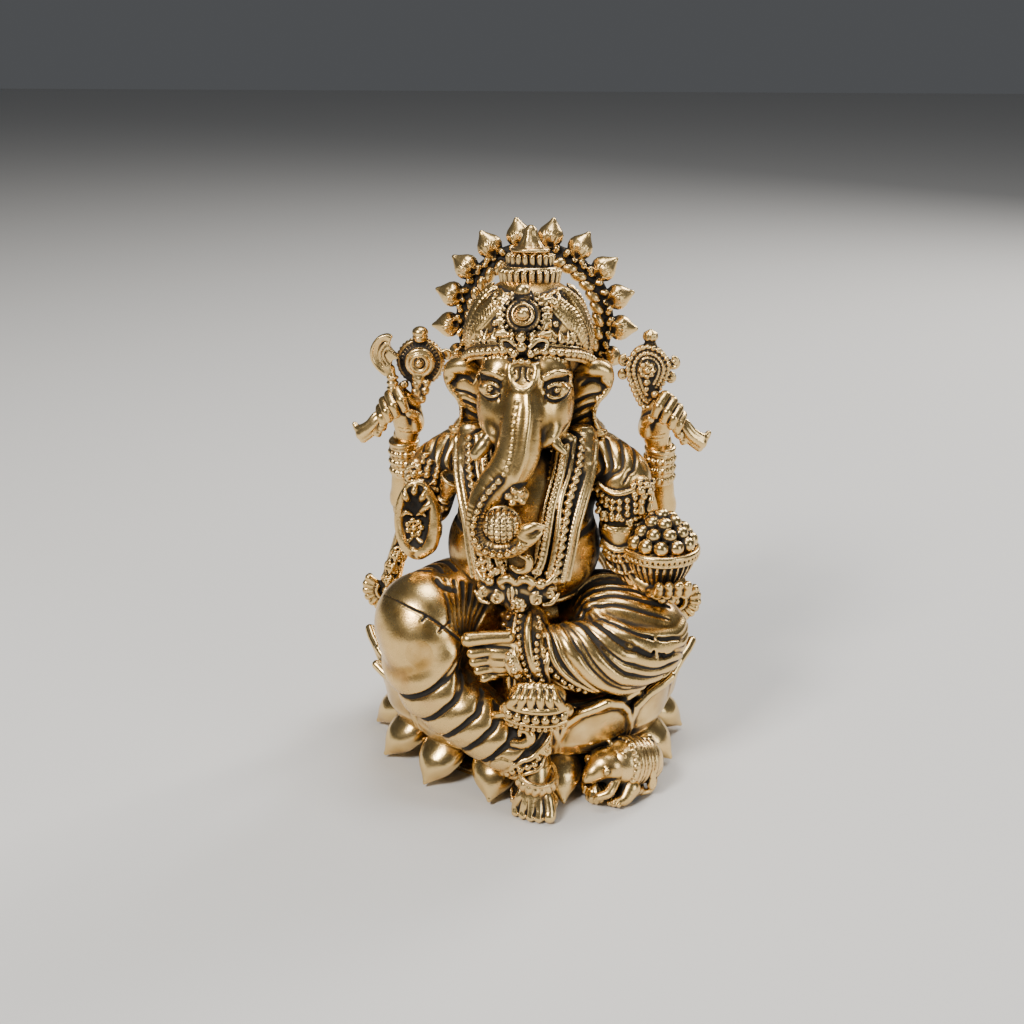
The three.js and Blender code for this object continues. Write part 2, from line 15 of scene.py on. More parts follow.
import bpy
import numpy as np
import openvdb as vdb
from mathutils import Matrix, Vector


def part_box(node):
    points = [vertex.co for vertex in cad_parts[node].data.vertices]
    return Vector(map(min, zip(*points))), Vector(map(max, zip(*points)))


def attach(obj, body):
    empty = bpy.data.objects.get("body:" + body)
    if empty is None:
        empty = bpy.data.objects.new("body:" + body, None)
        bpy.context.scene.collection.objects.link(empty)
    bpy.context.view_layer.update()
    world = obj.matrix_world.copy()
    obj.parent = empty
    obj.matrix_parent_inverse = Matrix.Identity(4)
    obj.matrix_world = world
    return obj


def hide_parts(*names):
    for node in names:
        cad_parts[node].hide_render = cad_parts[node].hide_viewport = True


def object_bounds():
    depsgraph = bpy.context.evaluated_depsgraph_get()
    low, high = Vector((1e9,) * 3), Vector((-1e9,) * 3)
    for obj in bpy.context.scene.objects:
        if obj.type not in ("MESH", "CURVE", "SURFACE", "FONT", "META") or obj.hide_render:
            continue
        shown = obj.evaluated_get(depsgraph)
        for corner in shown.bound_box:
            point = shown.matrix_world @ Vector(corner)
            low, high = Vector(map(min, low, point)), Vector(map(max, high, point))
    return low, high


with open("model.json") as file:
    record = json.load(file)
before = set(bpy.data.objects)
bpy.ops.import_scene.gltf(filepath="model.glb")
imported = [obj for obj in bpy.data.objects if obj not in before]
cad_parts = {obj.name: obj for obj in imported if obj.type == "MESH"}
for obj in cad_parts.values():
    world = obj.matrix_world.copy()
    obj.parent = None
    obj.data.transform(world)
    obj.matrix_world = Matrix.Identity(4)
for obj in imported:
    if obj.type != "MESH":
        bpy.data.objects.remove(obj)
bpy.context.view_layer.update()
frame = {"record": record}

MM = 0.001
DETAIL = 0.13  # mm, the grid of ornate pieces
MIDDLE = 0.16  # mm, the grid of large pieces with some ornament
PLAIN = 0.18  # mm, the grid of broad, smooth pieces
FAR = 9.0  # mm, the field's value before anything is added
BAND = 3  # voxels on each side of a surface where the field has to be true
HOLLOW_WIDTH = 0.42  # mm, the reach of the blur that finds the hollows
HOLLOW_DEPTH = 0.1  # mm, the hollow that counts as fully in the dark
HOLLOW_LIMIT = 1.2  # mm, the field is clipped here so that far walls don't count


def vec(*values):
    return np.array(values, dtype=np.float64)


def box(*nodes):
    """The corners of the CAD nodes' joint box, in millimetres."""
    corners = np.array([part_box(node) for node in nodes]) / MM
    return corners[:, 0].min(0), corners[:, 1].max(0)


def centre(*nodes):
    lo, hi = box(*nodes)
    return (lo + hi) / 2


def unit(v):
    v = np.asarray(v, dtype=np.float64)
    return v / np.linalg.norm(v)


def turn(axis, degrees):
    """The rotation matrix about an axis."""
    x, y, z = unit(axis)
    a = math.radians(degrees)
    c, s = math.cos(a), math.sin(a)
    k = np.array([[0, -z, y], [z, 0, -x], [-y, x, 0]])
    return np.eye(3) + s * k + (1 - c) * (k @ k)


def basis(axis):
    """Rows are a side, an up as near +Z as it can be, and the axis itself."""
    axis = unit(axis)
    side = np.cross((0, 0, 1), axis)
    if np.linalg.norm(side) < 1e-6:
        side = np.cross((0, 1, 0), axis)
    side = unit(side)
    return np.array([side, np.cross(axis, side), axis])


def smooth_curve(points, count=None, closed=False):
    """A Catmull-Rom curve through the points, sampled evenly by parameter."""
    p = np.asarray(points, dtype=np.float64)
    if len(p) == 2 and not closed:
        t = np.linspace(0, 1, count or 8)[:, None]
        return p[0] * (1 - t) + p[1] * t
    count = count or 10 * len(p)
    if closed:
        q = np.concatenate([p[-1:], p, p[:2]])
        spans = len(p)
    else:
        q = np.concatenate([2 * p[:1] - p[1:2], p, 2 * p[-1:] - p[-2:-1]])
        spans = len(p) - 1
    t = np.linspace(0, spans, count, endpoint=not closed)
    i = np.minimum(t.astype(int), spans - 1)
    f = (t - i)[:, None]
    a, b, c, d = q[i], q[i + 1], q[i + 2], q[i + 3]
    return 0.5 * (
        2 * b + (c - a) * f + (2 * a - 5 * b + 4 * c - d) * f**2 + (3 * b - a - 3 * c + d) * f**3
    )


def spaced(points, spacing):
    """The curve resampled at even distances, as near to the spacing as fits it."""
    p = np.asarray(points, dtype=np.float64)
    steps = np.linalg.norm(np.diff(p, axis=0), axis=1)
    run = np.concatenate([[0], np.cumsum(steps)])
    count = max(2, int(round(run[-1] / spacing)) + 1)
    at = np.linspace(0, run[-1], count)
    return np.stack([np.interp(at, run, p[:, i]) for i in range(3)], axis=1)


def wheel(count, radius=1.0, start=0.0):
    """Points at even steps round a circle, as pairs. start is in steps."""
    angles = (2 * math.pi * (i + start) / count for i in range(count))
    return [(radius * math.cos(a), radius * math.sin(a)) for a in angles]


def smin(a, b, k):
    """The lesser of two fields, rounded over a width of k where they meet."""
    low = np.minimum(a, b)
    if k <= 0:
        return low
    h = np.maximum(k - np.abs(a - b), 0) / k
    return low - h * h * (k / 4)


def ellipsoid(x, y, z, r):
    """About the distance to an ellipsoid, true near its surface."""
    k0 = np.sqrt((x / r[0]) ** 2 + (y / r[1]) ** 2 + (z / r[2]) ** 2)
    k1 = np.sqrt((x / r[0] ** 2) ** 2 + (y / r[1] ** 2) ** 2 + (z / r[2] ** 2) ** 2)
    return k0 * (k0 - 1) / np.maximum(k1, 1e-6)


class Clay:
    """A signed distance field in a box, with the tools that shape it."""

    def __init__(self, lo, hi, voxel=DETAIL):
        self.voxel = voxel
        self.lo = np.asarray(lo, dtype=np.float64)
        size = np.ceil((np.asarray(hi) - self.lo) / voxel).astype(int) + 1
        self.field = np.full(size, FAR, dtype=np.float32)

    # -- blocks of the grid
    def block(self, lo, hi, pad):
        a = np.floor((np.asarray(lo) - pad - self.lo) / self.voxel).astype(int)
        b = np.ceil((np.asarray(hi) + pad - self.lo) / self.voxel).astype(int) + 1
        a = np.maximum(a, 0)
        b = np.minimum(b, self.field.shape)
        if (b <= a).any():
            return None
        return tuple(slice(int(i), int(j)) for i, j in zip(a, b))

    def axes(self, where):
        out = []
        for i, s in enumerate(where):
            shape = [1, 1, 1]
            shape[i] = -1
            values = self.lo[i] + self.voxel * np.arange(s.start, s.stop)
            out.append(values.astype(np.float32).reshape(shape))
        return out

    def whole(self):
        return tuple(slice(0, n) for n in self.field.shape)

    def blend(self, where, d, k, cut=False):
        old = self.field[where]
        self.field[where] = -smin(-old, d, k) if cut else smin(old, d, k)

    # -- masses
    def add(self, c, reach, form, k, cut, rot=None):
        """Blends in, or cuts out, a form whose field is given about its own middle."""
        where = self.block(np.asarray(c) - reach, np.asarray(c) + reach, k + BAND * self.voxel)
        if where is None:
            return
        x, y, z = (a - v for a, v in zip(self.axes(where), c))
        if rot is not None:
            m = np.asarray(rot)
            x, y, z = (m[i][0] * x + m[i][1] * y + m[i][2] * z for i in range(3))
        self.blend(where, form(x, y, z).astype(np.float32), k, cut)

    def ball(self, c, r, k=0.0, rot=None, cut=False):
        """A ball, or an ellipsoid when r has three values."""
        r = np.broadcast_to(np.asarray(r, dtype=np.float64), 3)
        if r.max() - r.min() < 1e-6:
            form = lambda x, y, z: np.sqrt(x * x + y * y + z * z) - r[0]
        else:
            form = lambda x, y, z: ellipsoid(x, y, z, r)
        self.add(c, r if rot is None else np.full(3, r.max()), form, k, cut, rot)

    def ring(self, c, axis, radius, rod, k=0.0, squash=1.0, cut=False):
        """A ring round an axis, whose rod is stretched along the axis by squash."""

        def form(x, y, z):
            return np.sqrt((np.sqrt(x * x + y * y) - radius) ** 2 + (z / squash) ** 2) - rod

        self.add(c, radius + rod, form, k, cut, basis(axis))

    def turned(self, c, axis, profile, k=0.0, flutes=0, depth=0.0):
        """A solid of revolution. profile is [(height along the axis, radius), ...]."""
        heights, radii = np.asarray(profile, dtype=np.float64).T
        reach = max(np.abs(heights).max(), radii.max()) * 1.2

        def form(x, y, z):
            rad = np.sqrt(x * x + y * y)
            wall = np.interp(z, heights, radii)
            slope = np.interp(z, heights, np.gradient(radii, heights))
            if flutes:
                wall = wall * (1 - depth * (0.5 - 0.5 * np.cos(flutes * np.arctan2(y, x))))
            d = (rad - wall) / np.sqrt(1 + slope**2)
            return np.maximum(d, np.maximum(heights[0] - z, z - heights[-1]))

        self.add(c, reach, form, k, False, basis(axis))

    def tube(self, points, radii, k=0.0, cut=False, curve=True, flat=None, thin=1.0):
        """A limb of changing radius along a smooth curve, thinned along the flat direction."""
        p = smooth_curve(points) if curve else np.asarray(points, dtype=np.float64)
        given = np.resize(np.asarray(radii, dtype=np.float64), max(2, np.size(radii)))
        r = np.interp(np.linspace(0, 1, len(p)), np.linspace(0, 1, len(given)), given)
        big = r.max()
        slack = k + BAND * self.voxel
        where = self.block(p.min(0) - big, p.max(0) + big, slack)
        if where is None:
            return
        start = np.array([s.start for s in where])
        part = np.full([s.stop - s.start for s in where], FAR, dtype=np.float32)
        for a, b, ra, rb in zip(p[:-1], p[1:], r[:-1], r[1:]):
            thick = max(ra, rb)
            w = self.block(np.minimum(a, b) - thick, np.maximum(a, b) + thick, slack)
            if w is None:
                continue
            x, y, z = self.axes(w)
            ab = b - a
            t = ((x - a[0]) * ab[0] + (y - a[1]) * ab[1] + (z - a[2]) * ab[2]) / max(ab @ ab, 1e-9)
            t = np.clip(t, 0, 1)
            x, y, z = x - a[0] - t * ab[0], y - a[1] - t * ab[1], z - a[2] - t * ab[2]
            far = x * x + y * y + z * z
            if flat is not None:
                far += (x * flat[0] + y * flat[1] + z * flat[2]) ** 2 * (1 / thin**2 - 1)
            d = (np.sqrt(far) - ra - (rb - ra) * t) * min(1.0, (1 + thin) / 2)
            local = tuple(slice(s.start - o, s.stop - o) for s, o in zip(w, start))
            part[local] = np.minimum(part[local], d)
        self.blend(where, part, k, cut)

    # -- finding the surface
    def sample(self, points):
        """The field at any points, interpolated from the grid."""
        g = (np.asarray(points) - self.lo) / self.voxel
        top = np.array(self.field.shape) - 1.001
        g = np.clip(g, 0, top)
        i = g.astype(int)
        f = g - i
        out = 0
        for dx in (0, 1):
            for dy in (0, 1):
                for dz in (0, 1):
                    w = abs(1 - dx - f[:, 0]) * abs(1 - dy - f[:, 1]) * abs(1 - dz - f[:, 2])
                    out = out + w * self.field[i[:, 0] + dx, i[:, 1] + dy, i[:, 2] + dz]
        return out

    def normals(self, points):
        """The way out of the clay at each point."""
        p = np.asarray(points, dtype=np.float64)
        e = 1.5 * self.voxel
        n = np.stack([self.sample(p + e * a) - self.sample(p - e * a) for a in np.eye(3)], axis=1)
        return n / np.maximum(np.linalg.norm(n, axis=1, keepdims=True), 1e-6)

    def snap(self, points, lift=0.0):
        """Moves points to the nearest surface, then out along its normal by the lift."""
        p = np.array(points, dtype=np.float64)
        ease, rounds = 0.8, 8  # short steps don't overshoot where the surface curves
        for _ in range(rounds):
            step = np.clip(self.sample(p), -1.0, 1.0)[:, None] * self.normals(p)
            p -= ease * step
        return p + lift * self.normals(p)

    def land(self, points, way=(0, 1, 0), back=8.0, lift=0.0):
        """Drops points onto the surface along a direction, starting from some way back."""
        p = np.asarray(points, dtype=np.float64)
        way = unit(way)
        best = p.copy()
        found = np.zeros(len(p), bool)
        for s in np.arange(-back, 2 * back, self.voxel):
            q = p + s * way
            hit = (self.sample(q) < 0) & ~found
            best[hit] = q[hit]
            found |= hit
        return best + lift * self.normals(best) if lift else best

    # -- work on the surface
    def beads(self, points, r, spacing, k=0.08, lift=0.0, snap=True):
        """A row of beads along a dense line of points."""
        p = spaced(points, spacing)
        if snap:
            p = self.snap(p, lift)
        for q in p:
            self.ball(q, r, k)

    def cord(self, points, r, k=0.15, lift=0.0, snap=True):
        """A raised line on the surface."""
        p = smooth_curve(points)
        self.tube(self.snap(p, lift) if snap else p, r, k, curve=False)

    def engrave(self, points, r, k=0.1, snap=True, count=None):
        """A line cut into the surface."""
        p = smooth_curve(points, count)
        self.tube(self.snap(p) if snap else p, r, k, cut=True, curve=False)

    def cut_below(self, height):
        """Cuts the piece off flat, to stand on a floor at a height."""
        self.field = np.maximum(self.field, height - self.axes(self.whole())[2])

    # -- the finished surface
    def cavity(self):
        """How far each point lies in a hollow, from the field less its own blur."""
        clipped = np.clip(self.field, -HOLLOW_LIMIT, HOLLOW_LIMIT)
        width = max(1, int(round(HOLLOW_WIDTH / self.voxel)))
        soft = clipped
        for _ in range(2):
            for axis in range(3):
                soft = running_mean(soft, width, axis)
        return (clipped - soft) / HOLLOW_DEPTH

    def mesh(self):
        """Points in mm, quads and each point's cavity. The grid's own walls close the mesh."""
        band = BAND * self.voxel
        grid = vdb.FloatGrid(background=band)
        for axis in range(3):
            ends = [slice(None)] * 3
            for end in (0, -1):
                ends[axis] = end
                self.field[tuple(ends)] = FAR
        grid.copyFromArray(np.clip(self.field, -band, band))
        points, quads = grid.convertToQuads(isovalue=0.0)
        shade = self.cavity()
        where = np.clip(points, 0, np.array(self.field.shape) - 1.001)
        base = where.astype(int)
        values = shade[base[:, 0], base[:, 1], base[:, 2]]
        return points.astype(np.float64) * self.voxel + self.lo, quads[:, ::-1], values


def running_mean(values, width, axis):
    """The mean over a window of 2 * width + 1 samples along one axis."""
    pad = [(0, 0)] * 3
    pad[axis] = (width + 1, width)
    total = np.cumsum(np.pad(values, pad, mode="edge"), axis=axis, dtype=np.float64)
    size = 2 * width + 1
    n = values.shape[axis]
    high = np.take(total, range(size, size + n), axis=axis)
    low = np.take(total, range(0, n), axis=axis)
    return ((high - low) / size).astype(np.float32)


# ---------------------------------------------------------------- registering the pieces

ORIGIN = centre("base_plate") * (1, 1, 0)  # the middle of the underside, where CAD heights start
SCRAP = 80  # quads: islands smaller than this are scraps of a cut and are left out
PIECES = []


def piece(name, *nodes, slot, voxel=DETAIL, pad=0.7):
    """Registers a sculpt, a function that shapes one visible piece in its own clay."""
    nodes = nodes or (name,)
    lo, hi = box(*nodes)

    def register(sculpt):
        PIECES.append((name, nodes, slot, voxel, lo - pad, hi + pad, sculpt))
        return sculpt

    return register


def side_pieces(stem, slot, **options):
    """Registers a sculpt for the figure's right side (-X) and its left side (+X)."""

    def register(sculpt):
        for label, side in (("right", -1), ("left", 1)):
            name = stem.format(label)
            piece(name, slot=slot, **options)(lambda clay, s=side, n=name: sculpt(clay, s, n))
        return sculpt

    return register


def facing(line, side=1):
    """Points in front of the face and crown, from (x, z) pairs, to land on them."""
    return [(u * side, -9.0, w) for u, w in line]


def mirror(points, side):
    """Points given for the figure's left side, moved to either side."""
    return [(side * x, y, z) for x, y, z in points]


def without_scraps(points, quads, shade):
    """The mesh without its small islands, found by spreading the lowest label."""
    label = np.arange(len(points))
    edges = np.concatenate([quads[:, [0, 1]], quads[:, [1, 2]], quads[:, [2, 3]]])
    while True:
        low = np.minimum(label[edges[:, 0]], label[edges[:, 1]])
        new = label.copy()
        np.minimum.at(new, edges[:, 0], low)
        np.minimum.at(new, edges[:, 1], low)
        new = new[new]
        if (new == label).all():
            break
        label = new
    size = np.bincount(label[quads[:, 0]], minlength=len(points))
    kept = size[label[quads[:, 0]]] >= SCRAP
    quads = quads[kept]
    used = np.zeros(len(points), bool)
    used[quads.ravel()] = True
    index = np.cumsum(used) - 1
    return points[used], index[quads], shade[used]


def sculpted(entry):
    *_, voxel, lo, hi, sculpt = entry
    clay = Clay(lo, hi, voxel)
    sculpt(clay)
    return without_scraps(*clay.mesh())


# ---------------------------------------------------------------- lotus throne

LOWER_COUNT, LOWER_START = 14, -9.4  # petals in the lower row, degrees to the first one
UPPER_COUNT = 12


def petal_row(clay, count, start, petal, k=0.15):
    """Blends in a ring of petals. petal(x, y, z) is one petal's field, with y its way out."""
    x, y, z = clay.axes(clay.whole())
    x, y = x - ORIGIN[0], y - ORIGIN[1]
    step = 2 * math.pi / count
    radius = np.sqrt(x * x + y * y)
    angle = (np.arctan2(x, -y) - math.radians(start) + step / 2) % step - step / 2
    for shift in (-step, 0, step):
        a = angle - shift
        clay.blend(
            clay.whole(), petal(radius * np.sin(a), radius * np.cos(a), z).astype(np.float32), k,
        )


def segment(x, y, z, a, b, ra, rb):
    """The field of a straight rod from a to b, of radius ra at a and rb at b."""
    ab = np.subtract(b, a)
    t = ((x - a[0]) * ab[0] + (y - a[1]) * ab[1] + (z - a[2]) * ab[2]) / (ab @ ab)
    t = np.clip(t, 0, 1)
    away = (x - a[0] - t * ab[0]) ** 2 + (y - a[1] - t * ab[1]) ** 2 + (z - a[2] - t * ab[2]) ** 2
    return np.sqrt(away) - ra - (rb - ra) * t


def drooping_petal(x, y, z):
    """A full, glossy drop that hangs outwards and ends in a small point."""
    lean = math.radians(38)
    out, up = y - 17.6, z - 3.9  # from the drop's middle
    u = out * math.cos(lean) - up * math.sin(lean)
    v = out * math.sin(lean) + up * math.cos(lean)
    drop = ellipsoid(x, u, v, (3.15, 3.9, 2.25))
    tip = segment(x, y, z, (0, 19.2, 2.3), (0, 21.3, 0.75), 1.7, 0.3)
    root = segment(x, y, z, (0, 13.4, 5.6), (0, 16.0, 5.0), 1.8, 2.3)
    return smin(smin(drop, tip, 1.2), root, 1.0)


@piece("lotus_foot", slot="polished_gold", voxel=PLAIN, pad=0.5)
def lotus_foot(clay):
    petal_row(clay, LOWER_COUNT, LOWER_START, drooping_petal, k=0.1)
    clay.turned(
        ORIGIN, (0, 0, 1), [(1.4, 12.6), (1.6, 13.4), (3.4, 14.8), (5.4, 14.4), (6.3, 13.8)], k=0.3,
    )


# radius, height
UPPER_SPINE = ((16.0, 5.0), (18.8, 5.9), (19.9, 7.8), (20.3, 10.2), (20.6, 12.2), (21.9, 13.9))
# the half width at shares of the height
UPPER_EDGE = (
    (0.0, 3.4), (0.2, 4.6), (0.45, 5.0), (0.68, 4.4), (0.86, 2.9), (0.97, 1.2), (1.05, 0.0),
)


def upright_petal(x, y, z, reach=0.0, drop=0.0, slim=1.0):
    """A broad petal with a rim that rolls round its sides and flares into a point."""
    heights = [h - drop for _, h in UPPER_SPINE]
    radii = [r - reach for r, _ in UPPER_SPINE]
    bottom, top = heights[0], heights[-1]
    share = (z - bottom) / (top - bottom)
    half = np.interp(share, *zip(*UPPER_EDGE)) * slim
    bowl = 0.05  # how fast the sides curve in
    sheet = (y + bowl * x * x - np.interp(z, heights, radii)) * 0.72
    sheet = np.abs(sheet + 0.5) - 0.75
    body = np.maximum(
        np.maximum(sheet, (np.abs(x) - half) * 0.9),
        np.abs(z - (bottom + top) / 2) - (top - bottom) / 2,
    )
    edge = [(slim * w, bottom + s * (top - bottom)) for s, w in UPPER_EDGE]
    spots = []
    for px, pz in edge:
        flare = 0.35 if px == 0 else 0.05
        py = np.interp(pz, heights, radii) - bowl * px * px + flare
        spots.append(((px, py, pz), 0.5 + 0.12 * (pz > 9)))
    rim = np.float32(FAR)
    for (a, ra), (b, rb) in zip(spots[:-1], spots[1:]):
        rim = np.minimum(rim, segment(np.abs(x), y, z, a, b, ra, rb))
    return smin(body, rim, 0.35)


@piece("lotus_cup", slot="polished_gold", voxel=PLAIN, pad=1.7)
def lotus_cup(clay):
    clay.turned(
        ORIGIN, (0, 0, 1), [(5.6, 16.0), (7.6, 18.4), (10.0, 18.9), (12.0, 18.6), (12.6, 17.6)],
    )
    petal_row(
        clay, UPPER_COUNT, 180 / UPPER_COUNT, lambda x, y, z: upright_petal(x, y, z, 1.5, 0.4, 0.8),
        k=0.1,
    )
    petal_row(clay, UPPER_COUNT, 0, upright_petal, k=0.1)


@piece("base_plate", slot="polished_gold", voxel=PLAIN)
def base_plate(clay):
    (_, _, bottom), (rim, _, top) = box("base_plate")
    clay.turned(
        ORIGIN, (0, 0, 1),
        [
            (bottom, rim - 0.25), (bottom + 0.2, rim), (top - 0.4, rim), (top - 0.1, rim - 0.3),
            (top, rim - 0.8),
        ],
    )


# ---------------------------------------------------------------- legs


def between(first, second, share):
    """A curve that lies part of the way from one curve to another."""
    a, b = smooth_curve(first, 24), smooth_curve(second, 24)
    return a * (1 - share) + b * share


def tapered(middle, ends, count=9):
    """Radii that swell from both ends to the middle."""
    return ends + (middle - ends) * np.sin(np.linspace(0, math.pi, count)) ** 0.6


@piece("right_leg", "right_thigh", "right_shin", slot="antique_gold")
def right_leg(clay):
    clay.tube(
        [(-4.6, -4.0, 20.8), (-8.6, -9.0, 22.4), (-12.2, -13.4, 22.0)], [4.6, 6.3, 6.2], k=0.5,
    )
    clay.ball((-12.3, -13.8, 21.9), (6.3, 6.1, 6.4), k=1.0)
    clay.tube(
        [
            (-12.6, -14.6, 18.2), (-9.8, -16.0, 14.2), (-4.6, -17.9, 10.4), (0.8, -19.6, 6.6),
            (2.4, -20.4, 4.2),
        ],
        [5.0, 4.7, 4.0, 3.0, 2.3], k=1.2,
    )
    clay.ball((-12.0, -17.2, 20.6), (4.6, 3.4, 4.2), k=1.6)
    folds = [
        (
            [
                (-17.8, -12.6, 17.2), (-16.2, -16.4, 15.6), (-12.4, -19.2, 16.2),
                (-9.2, -20.0, 18.6), (-7.4, -18.6, 21.2),
            ],
            1.3,
        ),
        (
            [
                (-16.6, -12.4, 14.4), (-14.4, -16.0, 12.8), (-10.8, -19.0, 13.6),
                (-7.9, -20.4, 16.4), (-6.4, -19.4, 19.4),
            ],
            1.3,
        ),
        (
            [
                (-14.0, -13.4, 11.8), (-11.6, -16.6, 10.4), (-8.0, -19.4, 11.8),
                (-5.3, -20.8, 14.4), (-4.2, -19.8, 17.0),
            ],
            1.2,
        ),
        (
            [
                (-11.6, -14.4, 9.6), (-9.0, -17.6, 8.6), (-5.8, -20.0, 10.2), (-3.4, -21.2, 12.6),
                (-2.3, -20.2, 15.4),
            ],
            1.1,
        ),
        (
            [
                (-8.6, -15.6, 7.8), (-6.2, -18.6, 7.2), (-3.2, -20.8, 9.0), (-1.2, -21.6, 11.2),
                (-0.4, -20.4, 13.4),
            ],
            1.0,
        ),
        (
            [
                (-5.6, -16.8, 6.4), (-3.6, -19.4, 6.0), (-0.8, -21.2, 7.6), (0.9, -22.0, 9.4),
                (1.5, -21.0, 11.6),
            ],
            0.85,
        ),
    ]
    for path, size in folds:
        clay.cord(path, tapered(size, 0.35, 9), k=1.6, lift=-0.6)
    for path, size in folds:
        for drop, wide in ((-1.1, 0.08), (-0.2, 0.05)):
            clay.engrave(np.array(path) + (0.3, 0.2, drop * size), tapered(wide, 0.04, 7), k=0.6)
    # the hem that crosses the kneecap, and its small nicks
    hem = [
        (-16.0, -14.6, 25.0), (-13.6, -17.2, 25.2), (-11.6, -18.2, 24.7), (-9.6, -19.0, 23.9),
        (-7.2, -18.8, 22.1), (-6.0, -17.6, 20.6),
    ]
    clay.engrave(hem, tapered(0.2, 0.08), k=0.1)
    for nick in (
        ((-11.5, -18.4, 24.6), (-11.9, -18.6, 24.1)), ((-9.2, -19.0, 23.8), (-9.9, -19.2, 23.2)),
        ((-8.9, -18.9, 23.9), (-8.4, -18.7, 24.3)),
    ):
        clay.engrave(nick, 0.17)
    # pleats that radiate over the thigh
    for i in range(8):
        share = i / 7
        start = vec(-10.6, -14.4, 28.6) * (1 - share) + vec(-3.4, -12.4, 25.8) * share
        end = vec(-8.4, -18.4, 23.6) * (1 - share) + vec(-4.9, -16.8, 19.6) * share
        middle = (start + end) / 2 + (0.7 - share, -0.6, 0.4)
        clay.engrave([start, middle, end], tapered(0.17, 0.05, 7), k=0.6)
    for path in (
        [(-14.6, -10.6, 28.2), (-13.2, -11.8, 28.6), (-11.8, -12.4, 28.2)],
        [(-13.6, -9.2, 29.0), (-11.4, -10.8, 29.2), (-10.2, -12.6, 28.2)],
        [(-12.4, -8.4, 29.2), (-10.2, -9.6, 29.4), (-8.6, -11.8, 28.4)],
        [(-10.8, -14.6, 27.6), (-9.6, -15.2, 27.4), (-8.2, -15.0, 27.0)],
    ):
        clay.engrave(path, tapered(0.26, 0.1), k=0.5)
    # the two beaded bands at the ankle and the rolled end of the cloth
    rings = [
        [
            (-1.6, -19.8, 6.4), (0.5, -22.0, 7.3), (2.4, -22.4, 8.2), (3.7, -21.8, 9.8),
            (4.5, -20.4, 11.6),
        ],
        [
            (-1.0, -20.0, 5.7), (0.9, -22.2, 6.5), (2.8, -22.5, 7.4), (4.3, -21.8, 9.2),
            (5.0, -20.2, 11.2),
        ],
        [
            (-0.4, -20.2, 5.0), (1.3, -22.2, 5.8), (3.3, -22.4, 6.7), (4.8, -21.6, 8.6),
            (5.5, -19.9, 10.8),
        ],
    ]
    clay.tube([(0.8, -19.2, 8.6), (2.8, -19.6, 9.6), (3.6, -18.8, 12.4)], [2.5, 2.4, 1.8], k=1.0)
    clay.cord(rings[0], 0.36, k=0.1, lift=0.15)
    clay.beads(smooth_curve(rings[1]), 0.46, 0.98, lift=0.14)
    clay.cord(rings[2], 0.3, k=0.1, lift=0.1)
    for shift in (1.1, 2.1, 3.0):
        clay.engrave(
            np.array(rings[0]) + (-0.45 * shift, -0.1, 0.75 * shift), tapered(0.16, 0.06), k=0.25,
        )
    curl = [
        (-0.6, -21.6, 9.6), (0.9, -22.4, 9.9), (1.9, -22.6, 10.7), (1.6, -22.5, 11.7),
        (0.7, -22.3, 11.7), (0.5, -22.2, 11.0),
    ]
    clay.cord(curl, [0.6, 0.65, 0.6, 0.4, 0.3], k=0.25, snap=False)


